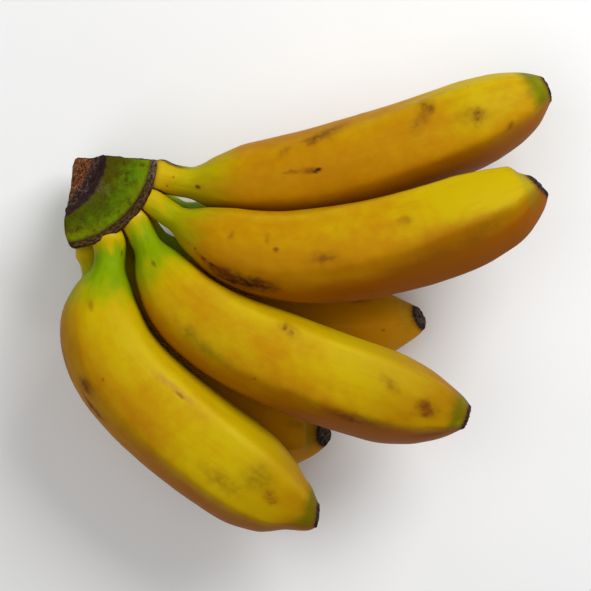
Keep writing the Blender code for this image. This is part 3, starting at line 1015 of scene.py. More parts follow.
@dataclass
class Fingers:
    """The two rows of fingers: how finely they are made, and how their skins are built."""

    crown: Crown
    crowding: float = 0.085
    stations: int = 104
    sides: int = 60
    clearance: float = 0.12 * MM
    root_taller: float = 1.6
    root_taller_to: float = 20.8 * MM
    ridges: int = 5
    ridge_stops: tuple[float, ...] = (0.0, 0.15, 0.4, 0.75, 0.93, 1.0)
    ridge_strengths: tuple[float, ...] = (0.0, 0.10, 0.16, 0.50, 0.42, 0.12)
    softness: float = 14.0
    press_from: float = 0.35
    press_to: float = 1.6
    press_steps: int = 22
    neighbour_within: float = 1.5
    shoulder: float = 0.13
    shoulder_at: float = 2.2 * MM
    tucked: float = 0.16
    tuck: tuple[float, float] = (0.8 * MM, -2.0 * MM)
    drawn_in: float = 0.20
    under_rim_mm: tuple[float, float] = (1.6, -0.4)
    tip_seed: int = 31
    end_bend: float = 7.0 * MM
    end_round: float = 3.8 * MM
    cover: float = 1.3 * MM
    tip_profile: tuple[tuple[float, float], ...] = (
        (0.28, 0.965), (0.55, 0.90), (0.75, 0.81), (0.78, 0.70), (0.62, 0.58),
        (0.5, 0.43), (0.6, 0.29), (0.95, 0.17), (1.1, 0.07))

    def crowded(self) -> Numbers:
        """Shares of the length, closer together near the root and the tip."""
        even = np.linspace(0.0, 1.0, self.stations)
        return even - self.crowding * np.sin(2 * math.pi * even)

    @staticmethod
    def rolled(sweep: Sweep) -> Numbers:
        """How far the ridges are rolled from the left at each cross-section."""
        return np.radians(sweep.finger.roll + sweep.finger.twist * (1 - sweep.share))

    def directions(self, sweep: Sweep) -> tuple[Points, Numbers]:
        """Directions from the centre line to each side of each cross-section.

        Args:
            sweep: The finger's centre line.

        Returns:
            The directions, and how far round each is turned from the left.
        """
        across = np.cross([0.0, 0.0, 1.0], sweep.ahead)
        across /= np.linalg.norm(across, axis=1)[:, None]
        lift = np.cross(sweep.ahead, across)
        even = np.linspace(0.0, 2 * math.pi, self.sides, endpoint=False)
        turn = even[None, :] + self.rolled(sweep)[:, None]
        sideways = across[:, None] * np.cos(turn)[..., None]
        return sideways + lift[:, None] * np.sin(turn)[..., None], turn

    def free_radius(self, sweep: Sweep, turn: Numbers) -> tuple[Numbers, Numbers]:
        """Distance from centre line to peel where nothing presses.

        Args:
            sweep: The finger's centre line.
            turn: How far round each side is turned.

        Returns:
            The distances, and how near each side is to the top of a ridge, from 0 to 1.
        """
        sector = 2 * math.pi / self.ridges
        within = (turn - self.rolled(sweep)[:, None] + 1e-9) % sector
        polygon = math.cos(sector / 2) / np.cos(within - sector / 2)
        ridge = (polygon - polygon.min()) / (polygon.max() - polygon.min())
        polygon = polygon / polygon.mean()
        strength = smooth_through(self.ridge_stops, self.ridge_strengths, sweep.share)
        ridged = 1 + strength[:, None] * (polygon - 1)
        along = sweep.share * sweep.finger.length
        fade_out = np.clip(1 - along / self.root_taller_to, 0.0, 1.0)
        taller = 1 + (self.root_taller - 1) * fade_out[:, None]
        stretch = np.hypot(np.cos(turn), np.sin(turn) * taller)
        past_wall = along - self.hidden(sweep)
        beyond = (past_wall - self.shoulder_at) / self.shoulder_at
        swollen = 1 + self.shoulder * np.exp(-(beyond**2))
        swollen = swollen - self.tucked * fade(*self.tuck, past_wall)
        end = np.clip((along - sweep.finger.length + self.end_round) / self.end_round, 0, 1)
        swollen = swollen * (1 - self.drawn_in * sweep.finger.rounded * end**3)
        return (sweep.half * swollen)[:, None] * ridged * stretch, ridge

    def hidden(self, sweep: Sweep) -> float:
        """How much of a finger's root is inside the crown's wall."""
        _, _, wall = self.crown.polar(sweep.centre[0])
        return float(wall) - sweep.ROOT_RADIUS

    def reaches(self, sweep: Sweep, other: Sweep) -> bool:
        """Whether another finger is near enough to press on this one."""
        gap = np.linalg.norm(sweep.spine[:, None] - other.spine[None], axis=-1)
        touching = sweep.spine_half[:, None] + other.spine_half[None]
        return bool((gap < self.neighbour_within * touching).any())

    def press_limit(self, sweep: Sweep, others: list[Sweep], outward: Points) -> Numbers:
        """How far each side may reach before it meets a neighbour half way.

        Args:
            sweep: The finger's centre line.
            others: The fingers near it.
            outward: The directions to its sides.

        Returns:
            The furthest distance from the centre line for each side.
        """
        limit = np.full(outward.shape[:2], np.inf)
        reach = sweep.half[:, None]
        before = None
        shares = np.linspace(self.press_from, self.press_to, self.press_steps)
        for step, share in enumerate(shares):
            points = sweep.centre[:, None] + outward * (share * reach)[..., None]
            nearest = np.full(limit.shape, np.inf)
            for other in others:
                gap = np.linalg.norm(points[..., None, :] - other.spine, axis=-1)
                nearest = np.minimum(nearest, (gap / other.spine_half).min(axis=-1))
            margin = nearest - share
            if before is not None:
                crossed = (margin <= 0) & (before > 0) & np.isinf(limit)
                part_way = before / np.where(crossed, before - margin, 1.0)
                meets = shares[step - 1] + part_way * (share - shares[step - 1])
                limit = np.where(crossed, meets, limit)
            before = margin
        return limit * reach - self.clearance

    def skin(self, sweep: Sweep, others: list[Sweep]) -> dict[str, Numbers]:
        """Works out a finger's skin.

        Args:
            sweep: The finger's centre line.
            others: The fingers near it.

        Returns:
            The rings of points, from root to tip, and what the shader needs to know of
            each point.
        """
        outward, turn = self.directions(sweep)
        free, ridge = self.free_radius(sweep, turn)
        limit = self.press_limit(sweep, others, outward)
        radius = (free**-self.softness + limit**-self.softness) ** (-1 / self.softness)
        length_mm = sweep.finger.length / MM
        along = np.repeat(sweep.share[:, None] * length_mm, self.sides, axis=1)
        bend = fade(length_mm - self.end_bend / MM, length_mm, along)
        points = sweep.centre[:, None] + outward * radius[..., None]
        points = points + self.tilted(sweep, turn, radius * bend)
        past_wall = along - self.hidden(sweep) / MM
        too_high = points[..., 2] - self.crown.top + self.cover
        points[..., 2] -= np.maximum(fade(*self.under_rim_mm, past_wall) * too_high, 0.0)
        touch = fade(1.15, 0.85, limit / free)
        rings = self.tip_rings(sweep, outward[-1], radius[-1], turn[-1])
        past = np.array([[place] for _, place in rings])
        points = np.concatenate([points, np.stack([ring for ring, _ in rings])])
        along = np.concatenate([along, np.repeat(past, self.sides, axis=1)])
        turn = np.concatenate([turn, np.repeat(turn[-1:], len(rings), axis=0)])
        flat = np.zeros((len(rings), self.sides))
        touch = np.concatenate([touch, flat])
        ridge = np.concatenate([ridge, flat])
        lean = math.pi / 2 - turn
        around = np.stack([np.sin(lean), np.cos(lean)], axis=-1) * SKIN_RADIUS_MM
        skin = np.concatenate([along[..., None], around], axis=-1)
        return {"points": points, "skin": skin, "ridge": ridge, "touch": touch}

    def tip_rings(self, sweep: Sweep, outward: Points, radius: Numbers,
                  turn: Numbers) -> list[tuple[Points, float]]:
        """The rings that close the tip's dry end, each further in than the last.

        Args:
            sweep: The finger's centre line.
            outward: The directions to the last cross-section's sides.
            radius: How far those sides are from the centre line.
            turn: How far round each is turned from the left.

        Returns:
            Each ring's points, and its place along the skin in millimetres.
        """
        wander = Grain(self.tip_seed)
        turn_mm = np.stack([np.cos(turn) * 3, np.sin(turn) * 3, 0 * turn], axis=-1)
        uneven = 0.04 * wander.rough(turn_mm + 9 * sweep.finger.root_angle, 2.6)
        length_mm = sweep.finger.length / MM
        rings = []
        for forward_mm, share in self.tip_profile:
            deep = forward_mm * MM * (1 + 0.15 * wander.at(turn_mm + share * 9, 2.0))
            across = radius * (share * (1 + uneven * (1 - share) * 4))
            ring = sweep.centre[-1] + outward * across[:, None]
            ring = ring + sweep.ahead[-1] * deep[:, None]
            ring = ring + self.tilted(sweep, turn[None], across[None])[0]
            past = length_mm + forward_mm + (1 - share) * sweep.TIP_WIDTH / MM / 2
            rings.append((ring, past))
        return rings

    @staticmethod
    def tilted(sweep: Sweep, turn: Numbers, across: Numbers) -> Points:
        """How far the end's tilted face moves each point along the finger.

        Args:
            sweep: The finger's centre line.
            turn: How far round each point is turned from the left.
            across: How far each is from the centre line.

        Returns:
            The moves.
        """
        left = math.tan(math.radians(sweep.finger.face_turn)) * np.cos(turn)
        up = math.tan(math.radians(sweep.finger.face_lift)) * np.sin(turn)
        back = across * (left + up)
        ahead = sweep.ahead[:, None] if len(turn) > 1 else sweep.ahead[-1:, None]
        return -ahead * back[..., None]

    def mesh(self, sweep: Sweep, others: list[Sweep]) -> bpy.types.Mesh:
        """Makes a finger's mesh, subdivided once and slightly uneven.

        Args:
            sweep: The finger's centre line.
            others: The fingers near it.

        Returns:
            The mesh, in place.
        """
        skin = self.skin(sweep, others)
        rings, sides = skin["points"].shape[:2]
        apex = skin["points"][-1].mean(axis=0)
        vertices = np.concatenate([skin["points"].reshape(-1, 3), apex[None]])
        faces = [tuple(reversed(range(sides)))]
        for ring in range(rings - 1):
            for i in range(sides):
                j = (i + 1) % sides
                low, high = ring * sides, (ring + 1) * sides
                faces.append((low + i, low + j, high + j, high + i))
        last = (rings - 1) * sides
        faces += [(last + i, last + (i + 1) % sides, rings * sides) for i in range(sides)]
        rough = bpy.data.meshes.new("rough_" + sweep.finger.node)
        rough.from_pydata(vertices.tolist(), [], faces)
        tip_place = skin["skin"][-1].mean(axis=0)
        place = np.concatenate([skin["skin"].reshape(-1, 3), tip_place[None]])
        written = rough.attributes.new("skin", "FLOAT_VECTOR", "POINT")
        written.data.foreach_set("vector", place.ravel())
        for name in ("ridge", "touch"):
            add_numbers(rough, name, np.append(skin[name].ravel(), 0.0))
        holder = bpy.data.objects.new("holder", rough)
        bpy.context.scene.collection.objects.link(holder)
        holder.modifiers.new("finer", "SUBSURF").levels = 1
        bpy.context.view_layer.update()
        shown = holder.evaluated_get(bpy.context.evaluated_depsgraph_get())
        made = bpy.data.meshes.new_from_object(shown)
        bpy.data.objects.remove(holder)
        self.roughen(made, sweep)
        return made

    def roughen(self, data: bpy.types.Mesh, sweep: Sweep) -> None:
        """Gives a smooth skin the slight unevenness of a real peel, in place.

        Args:
            data: The finger's mesh.
            sweep: The finger's centre line.
        """
        points = read_vectors(data.vertices, "co")
        normals = read_vectors(data.vertex_normals, "vector")
        place = read_vectors(data.attributes["skin"].data, "vector")
        seed = int(sweep.finger.root_angle * 10) % 97
        broad, close = Grain(100 + seed), Grain(200 + seed)
        length_mm = sweep.finger.length / MM
        cap = fade(length_mm - 0.2, length_mm + 1.0, place[:, 0])
        neck = fade(20.0, 8.0, place[:, 0])
        waves = 0.20 * broad.rough(place, 12.0) + 0.03 * close.rough(place, 3.0)
        strands = 0.05 * close.at(place, (14.0, 1.6, 1.6))
        crumbs = 0.20 * close.rough(place, 1.3) + 0.12 * broad.at(points / MM, 0.8)
        height = waves * (1 - 0.6 * neck) + strands * (0.25 + 0.75 * neck) * (1 - cap)
        height = (height + crumbs * cap) * MM
        points = points + normals * height[:, None]
        points[:, 2] = np.maximum(points[:, 2], 0.0)
        data.vertices.foreach_set("co", points.ravel())
        data.update()

    def build(self) -> list[bpy.types.Object]:
        """Makes all the fingers.

        Returns:
            The finished pieces.
        """
        stations = self.crowded()
        sweeps = [Sweep(finger, self.crown, stations) for finger in FINGERS]
        pieces = []
        for sweep in sweeps:
            rest = [other for other in sweeps if other is not sweep]
            data = self.mesh(sweep, [other for other in rest if self.reaches(sweep, other)])
            material = PeelFinish().make(sweep.finger)
            name = sweep.finger.node.replace("finger", "banana")
            pieces.append(show(data, name, sweep.finger.node, material))
        return pieces


@dataclass(frozen=True)
class PeelFinish:
    """Ripe peel: yellow to ochre, green at the neck and near the tip, with a dark dry cap.

    A zone is where a tint begins and where it is full, in millimetres from the root, or
    from the tip for the green end and the ridge lines.
    """

    yellow: Colour = ink(190, 163, 0)
    deep: Colour = ink(180, 128, 0)
    ochre: Colour = ink(160, 96, 0)
    # Painted shade: the brown laid on the right flank, away from the light, and near the tip.
    flank_shade: Colour = ink(144, 76, 0)
    pale: Colour = ink(196, 168, 20)
    # Painted highlight along the lit ridge crests.
    painted_sheen: Colour = ink(214, 188, 36)
    # Partly the lower fingers' orange tone, partly painted light that lifts them out of the upper
    # row's shade.
    apricot_lift: Colour = ink(206, 140, 2)
    green: Colour = ink(124, 152, 0)
    dark_green: Colour = ink(92, 118, 0)
    tip_green: Colour = ink(82, 88, 0)
    # Brown for the rubbed rim before the cap, the ridge lines and the freckles, and painted shade
    # where fingers touch.
    brown_rub_and_shade: Colour = ink(112, 60, 6)
    cap_brown: Colour = ink(68, 50, 40)
    cap_grey: Colour = ink(112, 98, 88)
    cap_black: Colour = ink(36, 28, 26)
    roughness: float = 0.5
    specular: float = 0.045
    bump: float = 0.3
    seat_step_mm: float = 3.0
    cloud_mm: float = 13.0
    drift_mm: float = 8.0
    blotch_mm: float = 7.0
    freckle_mm: float = 5.5
    mottle_mm: float = 3.4
    strand_mm: float = 1.5
    crumb_mm: float = 1.1
    pore_mm: float = 0.55
    young_zone: Zone = (38.0, 10.0)
    older_zone: Zone = (12.0, 40.0)
    yellow_zone: Zone = (72.0, 116.0)
    brown_zone: Zone = (50.0, 100.0)
    twist_zone: Zone = (110.0, 55.0)
    painted_sheen_zone: Zone = (28.0, 46.0)
    # Where the painted shade near the tip begins and where it is full.
    tip_shade_zone: Zone = (85.0, 124.0)
    neck_start: Zone = (5.5, 12.0)
    neck_stop: Zone = (31.0, 17.0)
    shade_start: Zone = (9.0, 14.0)
    shade_stop: Zone = (24.0, 15.0)
    pale_zone: Zone = (9.0, 4.0)
    end_zone: Zone = (8.5, 3.0)
    line_zone: Zone = (36.0, 10.0)
    leftward: tuple[float, float, float] = (0.0, 1 / SKIN_RADIUS_MM, 0.0)
    downward: tuple[float, float, float] = (0.0, 0.0, -1 / SKIN_RADIUS_MM)

    def make(self, finger: Finger) -> bpy.types.Material:
        """Makes one finger's peel.

        Args:
            finger: The finger.

        Returns:
            The material.
        """
        bench = Bench("peel_" + finger.node)
        skin = bench.attribute("skin", "Vector")
        seat = bench.vector("ADD", {0: skin, 1: (finger.root_angle * self.seat_step_mm, 0.0, 0.0)})
        from_root = bench.node("ShaderNodeSeparateXYZ", {}, {0: skin}, 0)
        to_tip = finger.length / MM - from_root
        mottle = bench.noise(seat, self.mottle_mm, 3.0)
        strand = bench.noise(bench.stretched(seat, (0.10, 1.0, 1.0)), self.strand_mm, 3.0, 0.6)
        colour = self.flesh(bench, finger, skin, seat, from_root, mottle)
        colour = bench.mix((strand - 0.5).fade(0.05, 0.25) * 0.14, colour, self.ochre)
        colour = self.ends(bench, colour, finger, seat, from_root, to_tip)
        # Painted shade: browner where the finger presses on its neighbours, in the creases between
        # them.
        colour = bench.mix(bench.attribute("touch") * 0.4, colour, self.brown_rub_and_shade)
        colour = self.ridge_lines(bench, colour, seat, to_tip)
        colour = self.freckles(bench, colour, seat)
        colour = self.marks(bench, colour, skin, finger)
        edge = (bench.noise(seat, 1.8, 3.0) - 0.5) * 1.4
        beyond = from_root + edge - (finger.length / MM - finger.cap)
        crumb = bench.noise(bench.place_mm(), self.crumb_mm, 3.0, 0.65)
        dry = bench.mix(crumb.fade(0.38, 0.64), self.cap_black, self.cap_brown)
        dry = bench.mix(beyond.fade(1.6, 2.6) * crumb.fade(0.40, 0.62) * 0.6, dry, self.cap_grey)
        colour = bench.mix(beyond.fade(-1.5, 0.3) * 0.6, colour, self.brown_rub_and_shade)
        cap = beyond.fade(-0.25, 0.55)
        colour = bench.mix(cap, colour, dry)
        roughness = self.roughness + (mottle - 0.5) * 0.2 + cap * 0.32
        pores = bench.noise(bench.place_mm(), self.pore_mm, 2.0, 0.6)
        height = (pores - 0.5) * 0.10 + (strand - 0.5) * 0.10 + (mottle - 0.5) * 0.14
        height = height + cap * (crumb - 0.5) * 0.8
        return bench.finish(colour, roughness, height, self.bump, self.specular)

    def flesh(self, bench: Bench, finger: Finger, skin: Tap, seat: Tap, from_root: Tap,
              mottle: Tap) -> Tap:
        """The peel's yellow, riper in clouds, with painted light and shade: yellower on its
        lit left side, browner with painted shade on its right flank and near the tip, a
        painted highlight along its lit crests, and on the lower fingers an apricot tint that
        is partly painted light.

        Args:
            bench: The material.
            finger: The finger.
            skin: The place on the skin, in millimetres.
            seat: The same place, moved along for this finger.
            from_root: Millimetres from the root.
            mottle: Fine clouds.

        Returns:
            The colour.
        """
        cloud = bench.noise(bench.stretched(seat, (0.55, 1.0, 1.0)), self.cloud_mm, 3.0, 0.55)
        left = bench.vector("DOT_PRODUCT", {0: skin, 1: self.leftward}, "Value")
        down = bench.vector("DOT_PRODUCT", {0: skin, 1: self.downward}, "Value")
        young = from_root.fade(*self.young_zone) * 0.9
        ripe = (cloud - 0.5) * 1.7 + (mottle - 0.5) * 0.7 + finger.ripeness - young
        # Painted light: the left side, which faces the light, is made less ripe and so yellower;
        # the tip zone turns yellower too, more on the left.
        ripe = ripe - left * 0.30 - from_root.fade(*self.yellow_zone) * (0.8 + left * 0.4)
        colour = bench.mix(ripe.fade(0.0, 1.1), self.yellow, self.deep)
        colour = bench.mix(ripe.fade(0.8, 1.7) * 0.55, colour, self.ochre)
        # Painted shade: the peel browns towards its right and lower flank, away from the light,
        # and on the face beyond the ridge near the tip.
        turned = 0.27 + (cloud - 0.5) * 0.9 - left * 0.95 + down * 0.25
        older = from_root.fade(*self.older_zone)
        tip_edge = math.sin(math.radians(finger.roll - 18))
        turn_back = math.sin(math.radians(finger.roll + finger.twist / 2 - 18)) - tip_edge
        beyond_ridge = (cloud - 0.5) * 0.5 - left - tip_edge
        beyond_ridge = beyond_ridge - from_root.fade(*self.twist_zone) * turn_back
        tip_ward = from_root.fade(*self.brown_zone)
        painted_flank_shade = turned.fade(0.30, 1.10) * 0.45 + beyond_ridge.fade(-0.22, 0.22) * tip_ward * 0.46
        painted_flank_shade = bench.math("MINIMUM", painted_flank_shade * older * finger.flank_shade, 0.93)
        colour = bench.mix(painted_flank_shade, colour, self.flank_shade)
        # Apricot tint on the lower fingers: partly their orange tone, partly painted light lifting
        # them out of the upper row's shade.
        if finger.apricot_lift:
            colour = bench.mix(finger.apricot_lift * older, colour, self.apricot_lift)
        # Painted highlight: a pale sheen along the ridge crests on the lit left side, weaker on
        # riper fingers.
        lit_crest = bench.attribute("ridge").fade(0.30, 1.0) * left.fade(0.25, 0.60)
        painted_sheen_strength = 0.32 * min(1.0, 1.6 - min(finger.ripeness, 1.4))
        colour = bench.mix(lit_crest * from_root.fade(*self.painted_sheen_zone) * painted_sheen_strength, colour, self.painted_sheen)
        # Painted shade near the tip of the fingers that point away from the light.
        shaded = from_root.fade(*self.tip_shade_zone) * (0.75 + (cloud - 0.5) * 1.2) * finger.tip_shade
        return bench.mix(shaded * 0.68, colour, self.flank_shade)

    def ends(self, bench: Bench, colour: Tap, finger: Finger, seat: Tap, from_root: Tap,
             to_tip: Tap) -> Tap:
        """Lays the pale root, the green neck and the green end near the tip.

        Args:
            bench: The material.
            colour: What is there already.
            finger: The finger.
            seat: The place on the skin, in millimetres.
            from_root: Millimetres from the root.
            to_tip: Millimetres to the tip.

        Returns:
            The new colour.
        """
        drift = (bench.noise(seat, self.drift_mm, 2.0) - 0.5) * 14
        close = (bench.noise(seat, 2.4, 2.0) - 0.5) * 2
        place = from_root + drift + close
        neck = place.fade(*self.neck_start) * place.fade(*self.neck_stop)
        colour = bench.mix(neck * finger.green_neck, colour, self.green)
        shade = bench.noise(seat, 5.0, 2.0).fade(0.46, 0.66) * place.fade(*self.shade_start)
        shade = shade * place.fade(*self.shade_stop) * 0.35
        colour = bench.mix(shade * finger.green_neck, colour, self.dark_green)
        colour = bench.mix((from_root + close).fade(*self.pale_zone) * 0.5, colour, self.pale)
        end = (to_tip + drift * 0.35 + close).fade(*self.end_zone)
        # Painted shade: the green end is darker on fingers shaded near the tip.
        darker = 0.9 + 0.1 * min(finger.tip_shade, 1.0)
        blotch = (bench.noise(bench.place_mm(), self.blotch_mm, 1.0) - 0.5) * 1.6 + darker
        leaf = bench.mix(blotch.fade(0.0, 1.0), self.green, self.tip_green)
        left = bench.vector("DOT_PRODUCT", {0: seat, 1: self.leftward}, "Value")
        # The green end stays off the right flank, where the painted shade lies.
        end = end * left.fade(-0.95, -0.35)
        return bench.mix(end * finger.green_tip * 0.85, colour, leaf)

    def ridge_lines(self, bench: Bench, colour: Tap, seat: Tap, to_tip: Tap) -> Tap:
        """Draws the faint brown line that a ridge wears near the tip.

        Args:
            bench: The material.
            colour: What is there already.
            seat: The place on the skin, in millimetres.
            to_tip: Millimetres to the tip.

        Returns:
            The new colour.
        """
        ridge = bench.attribute("ridge")
        broken = bench.noise(seat, 5.0, 3.0).fade(0.40, 0.66)
        line = ridge.fade(0.70, 1.0) * broken
        return bench.mix(line * to_tip.fade(*self.line_zone) * 0.22, colour, self.brown_rub_and_shade)

    def freckles(self, bench: Bench, colour: Tap, seat: Tap) -> Tap:
        """Scatters small brown freckles.

        Args:
            bench: The material.
            colour: What is there already.
            seat: The place on the skin, in millimetres.

        Returns:
            The new colour.
        """
        settings = {"feature": "F1"}
        sockets = {"Vector": bench.strayed(seat, 1.2, 0.3), "Scale": 1 / self.freckle_mm}
        cell = bench.node("ShaderNodeTexVoronoi", settings, sockets, "Distance")
        sparse = bench.noise(seat, 9.0, 1.0).fade(0.54, 0.68)
        return bench.mix(cell.fade(0.12, 0.05) * sparse * 0.45, colour, self.brown_rub_and_shade)

    def marks(self, bench: Bench, colour: Tap, skin: Tap, finger: Finger) -> Tap:
        """Lays a finger's own blemishes and its small painted highlights, each broken up by
        fine clouds.

        Args:
            bench: The material.
            colour: What is there already.
            skin: The place on the skin, in millimetres.
            finger: The finger.

        Returns:
            The new colour.
        """
        broken = 0.5 + bench.noise(skin, 2.0, 4.0, 0.6).fade(0.36, 0.62) * 0.5
        ragged = {}
        for mark in finger.marks:
            mark_colour, soft, ragged_mm, strength = mark.kind.value
            if ragged_mm not in ragged:
                ragged[ragged_mm] = bench.strayed(skin, 0.8 + 1.8 * ragged_mm, ragged_mm)
            lean = math.radians(mark.lean)
            tilt = math.radians(mark.tilt)
            ahead = Vector((1.0, 0.0, 0.0))
            left = Vector((0.0, math.cos(lean), -math.sin(lean)))
            out = Vector((0.0, math.sin(lean), math.cos(lean)))
            long_way = ahead * math.cos(tilt) + left * math.sin(tilt)
            wide_way = left * math.cos(tilt) - ahead * math.sin(tilt)
            turn = Matrix((long_way, wide_way, out)).transposed()
            centre = Vector((mark.along, 0.0, 0.0)) + out * SKIN_RADIUS_MM
            half = (mark.length / 2, mark.width / 2, SKIN_RADIUS_MM / 2)
            patch = bench.patch(ragged[ragged_mm], turn, centre, half, soft)
            colour = bench.mix(patch * broken * strength, colour, mark_colour)
        return colour


@dataclass(frozen=True)
class StemFinish:
    """The crown: mottled olive skin, a brown fibrous cut, and a rough dark scar.

    A spot is its place in plan and its half sizes, in millimetres.
    """

    olive: Colour = ink(96, 94, 0)
    green: Colour = ink(86, 128, 0)
    yellow: Colour = ink(138, 132, 0)
    brown: Colour = ink(60, 44, 4)
    band: Colour = ink(44, 32, 34)
    pulp: Colour = ink(140, 84, 48)
    pulp_light: Colour = ink(196, 126, 72)
    pulp_dark: Colour = ink(58, 36, 28)
    scar: Colour = ink(92, 66, 38)
    scar_dark: Colour = ink(40, 26, 16)
    scar_grey: Colour = ink(120, 98, 88)
    mould: Colour = ink(150, 138, 118)
    roughness: float = 0.66
    specular: float = 0.04
    bump: float = 0.5
    cloud_mm: float = 7.0
    pit_mm: float = 6.0
    mottle_mm: float = 2.2
    speck_mm: float = 0.75
    fibre_mm: float = 0.8
    strand_mm: float = 0.7
    green_spots: Spots = (
        (-54.0, 38.5, 6.0, 7.5), (-60.5, 30.5, 6.0, 5.0), (-68.0, 25.5, 7.0, 5.0))
    mould_spots: Spots = ((-64.4, 36.0, 2.6, 1.7), (-67.6, 32.6, 1.6, 1.2))

    def make(self, crown: Crown) -> bpy.types.Material:
        """Makes the crown's finish.

        Args:
            crown: The crown.

        Returns:
            The material.
        """
        bench = Bench("stem_crown")
        place = bench.place_mm()
        mottle = bench.noise(place, self.mottle_mm, 4.0, 0.6)
        speck = bench.noise(place, self.speck_mm, 3.0, 0.65)
        cut = bench.attribute("cut_mm") + (speck - 0.5) * 0.7
        knife = bench.attribute("knife_mm") + (speck - 0.5) * 0.5
        scar_mm = bench.attribute("scar_mm") + (speck - 0.5) * 0.5
        colour = self.rind(bench, place, cut, mottle, speck, crown)
        face = bench.attribute("cut_mm").fade(-0.65, -0.1)
        colour = bench.mix(face, colour, self.cut_face(bench, place, mottle))
        pulp = bench.mix(speck.fade(0.38, 0.60), self.pulp_dark, self.pulp)
        colour = bench.mix(knife.fade(-0.45, -0.2) * cut.fade(0.2, -0.2), colour, self.band)
        colour = bench.mix(knife.fade(-0.1, 0.2) * cut.fade(0.0, -0.6) * 0.8, colour, pulp)
        near_scar = scar_mm.fade(1.1, 0.2) * 0.5
        colour = bench.mix(near_scar * cut.fade(-0.2, -1.2), colour, self.scar_dark)
        colour = bench.mix(scar_mm.fade(0.3, -0.1) * cut.fade(-0.2, -1.2), colour,
                           self.scar_coat(bench))
        roughness = self.roughness + (speck - 0.5) * 0.3 + face * 0.2
        height = (speck - 0.5) * 0.5 + (mottle - 0.5) * 0.4
        return bench.finish(colour, roughness, height, self.bump, self.specular)

    def rind(self, bench: Bench, place: Tap, cut: Tap, mottle: Tap, speck: Tap,
             crown: Crown) -> Tap:
        """The crown's skin, brown near the cut and greener towards the scar.

        Args:
            bench: The material.
            place: The place, in millimetres.
            cut: Millimetres outside the cut.
            mottle: Clouds of some millimetres.
            speck: Clouds of under a millimetre.
            crown: The crown.

        Returns:
            The colour.
        """
        cloud = bench.noise(place, self.cloud_mm, 3.0, 0.55)
        reach = bench.attribute("reach_mm")
        away = (cut + (cloud - 0.5) * 16).fade(-6.0, -15.0)
        colour = bench.mix(away * 0.85, self.olive, self.green)
        colour = self.patches(bench, colour, place, crown)
        lit = (reach + (cloud - 0.5) * 8).fade(20.0, 26.5)
        colour = bench.mix(lit * 0.42, colour, self.yellow)
        near = (cut + (mottle - 0.5) * 18 + (cloud - 0.5) * 12).fade(-14.0, -2.5)
        colour = bench.mix(near * 0.68, colour, self.brown)
        grain = speck * 0.6 + mottle * 0.4
        colour = bench.mix(grain.fade(0.52, 0.64) * (0.25 + near * 0.5), colour, self.brown)
        settings = {"feature": "F1"}
        sockets = {"Vector": bench.strayed(place, 1.5, 0.8), "Scale": 1 / self.pit_mm}
        cell = bench.node("ShaderNodeTexVoronoi", settings, sockets, "Distance")
        return bench.mix(cell.fade(0.17, 0.08) * 0.5, colour, self.brown)

    def cut_face(self, bench: Bench, place: Tap, mottle: Tap) -> Tap:
        """The dried fibrous face where the hand was cut off, black along its upper rim.

        Args:
            bench: The material.
            place: The place, in millimetres.
            mottle: Clouds of some millimetres.

        Returns:
            The colour.
        """
        fibre = bench.noise(bench.stretched(place, (1.0, 1.0, 0.35)), self.fibre_mm, 3.0, 0.65)
        colour = bench.mix(fibre.fade(0.38, 0.56), self.pulp_dark, self.pulp)
        colour = bench.mix(fibre.fade(0.54, 0.68) * 0.8, colour, self.pulp_light)
        colour = bench.mix(mottle.fade(0.52, 0.68) * 0.45, colour, self.pulp_dark)
        drop = bench.attribute("drop_mm") + (bench.noise(place, 3.2, 3.0) - 0.5) * 9
        colour = bench.mix(drop.fade(14.5, 11.0) * 0.92, colour, self.band)
        dusty = bench.noise(place, 1.4, 3.0, 0.65).fade(0.50, 0.66)
        grey = drop.fade(5.0, 8.0) * drop.fade(14.0, 11.0) * dusty
        return bench.mix(grey * 0.5, colour, self.mould)

    def scar_coat(self, bench: Bench) -> Tap:
        """The scar's own colour, in dark strands that run round it.

        Args:
            bench: The material.

        Returns:
            The colour.
        """
        sockets = {"X": bench.attribute("round_mm"), "Y": bench.attribute("reach_mm")}
        round_way = bench.node("ShaderNodeCombineXYZ", {}, sockets)
        along = bench.stretched(round_way, (0.45, 1.0, 1.0))
        strand = bench.noise(along, self.strand_mm, 4.0, 0.7)
        coat = bench.mix(strand.fade(0.38, 0.62), self.scar_dark, self.scar)
        coat = bench.mix(bench.attribute("scar_mm").fade(-0.7, -0.1) * 0.6, coat, self.scar_dark)
        grey_end = bench.attribute("round_mm").fade(32.0, 43.0)
        return bench.mix(grey_end * strand.fade(0.42, 0.58) * 0.7, coat, self.scar_grey)

    def patches(self, bench: Bench, colour: Tap, place: Tap, crown: Crown) -> Tap:
        """Lays the brighter green patches and the pale mould on the crown's top.

        Args:
            bench: The material.
            colour: What is there already.
            place: The place, in millimetres.
            crown: The crown.

        Returns:
            The new colour.
        """
        ragged = bench.strayed(place, 4.0, 3.0)
        top_mm = crown.top / MM
        level = Matrix.Identity(3)
        for x, y, wide, deep in self.green_spots:
            centre = Vector((x, y, top_mm))
            patch = bench.patch(ragged, level, centre, (wide, deep, 8.0), 0.95)
            colour = bench.mix(patch * 0.85, colour, self.green)
        fine = bench.strayed(place, 1.2, 1.0)
        dusty = bench.noise(place, 0.8, 3.0, 0.7).fade(0.44, 0.62)
        for x, y, wide, deep in self.mould_spots:
            centre = Vector((x, y, top_mm))
            patch = bench.patch(fine, level, centre, (wide, deep, 5.0), 0.9)
            colour = bench.mix(patch * dusty * 0.8, colour, self.mould)
        return colour


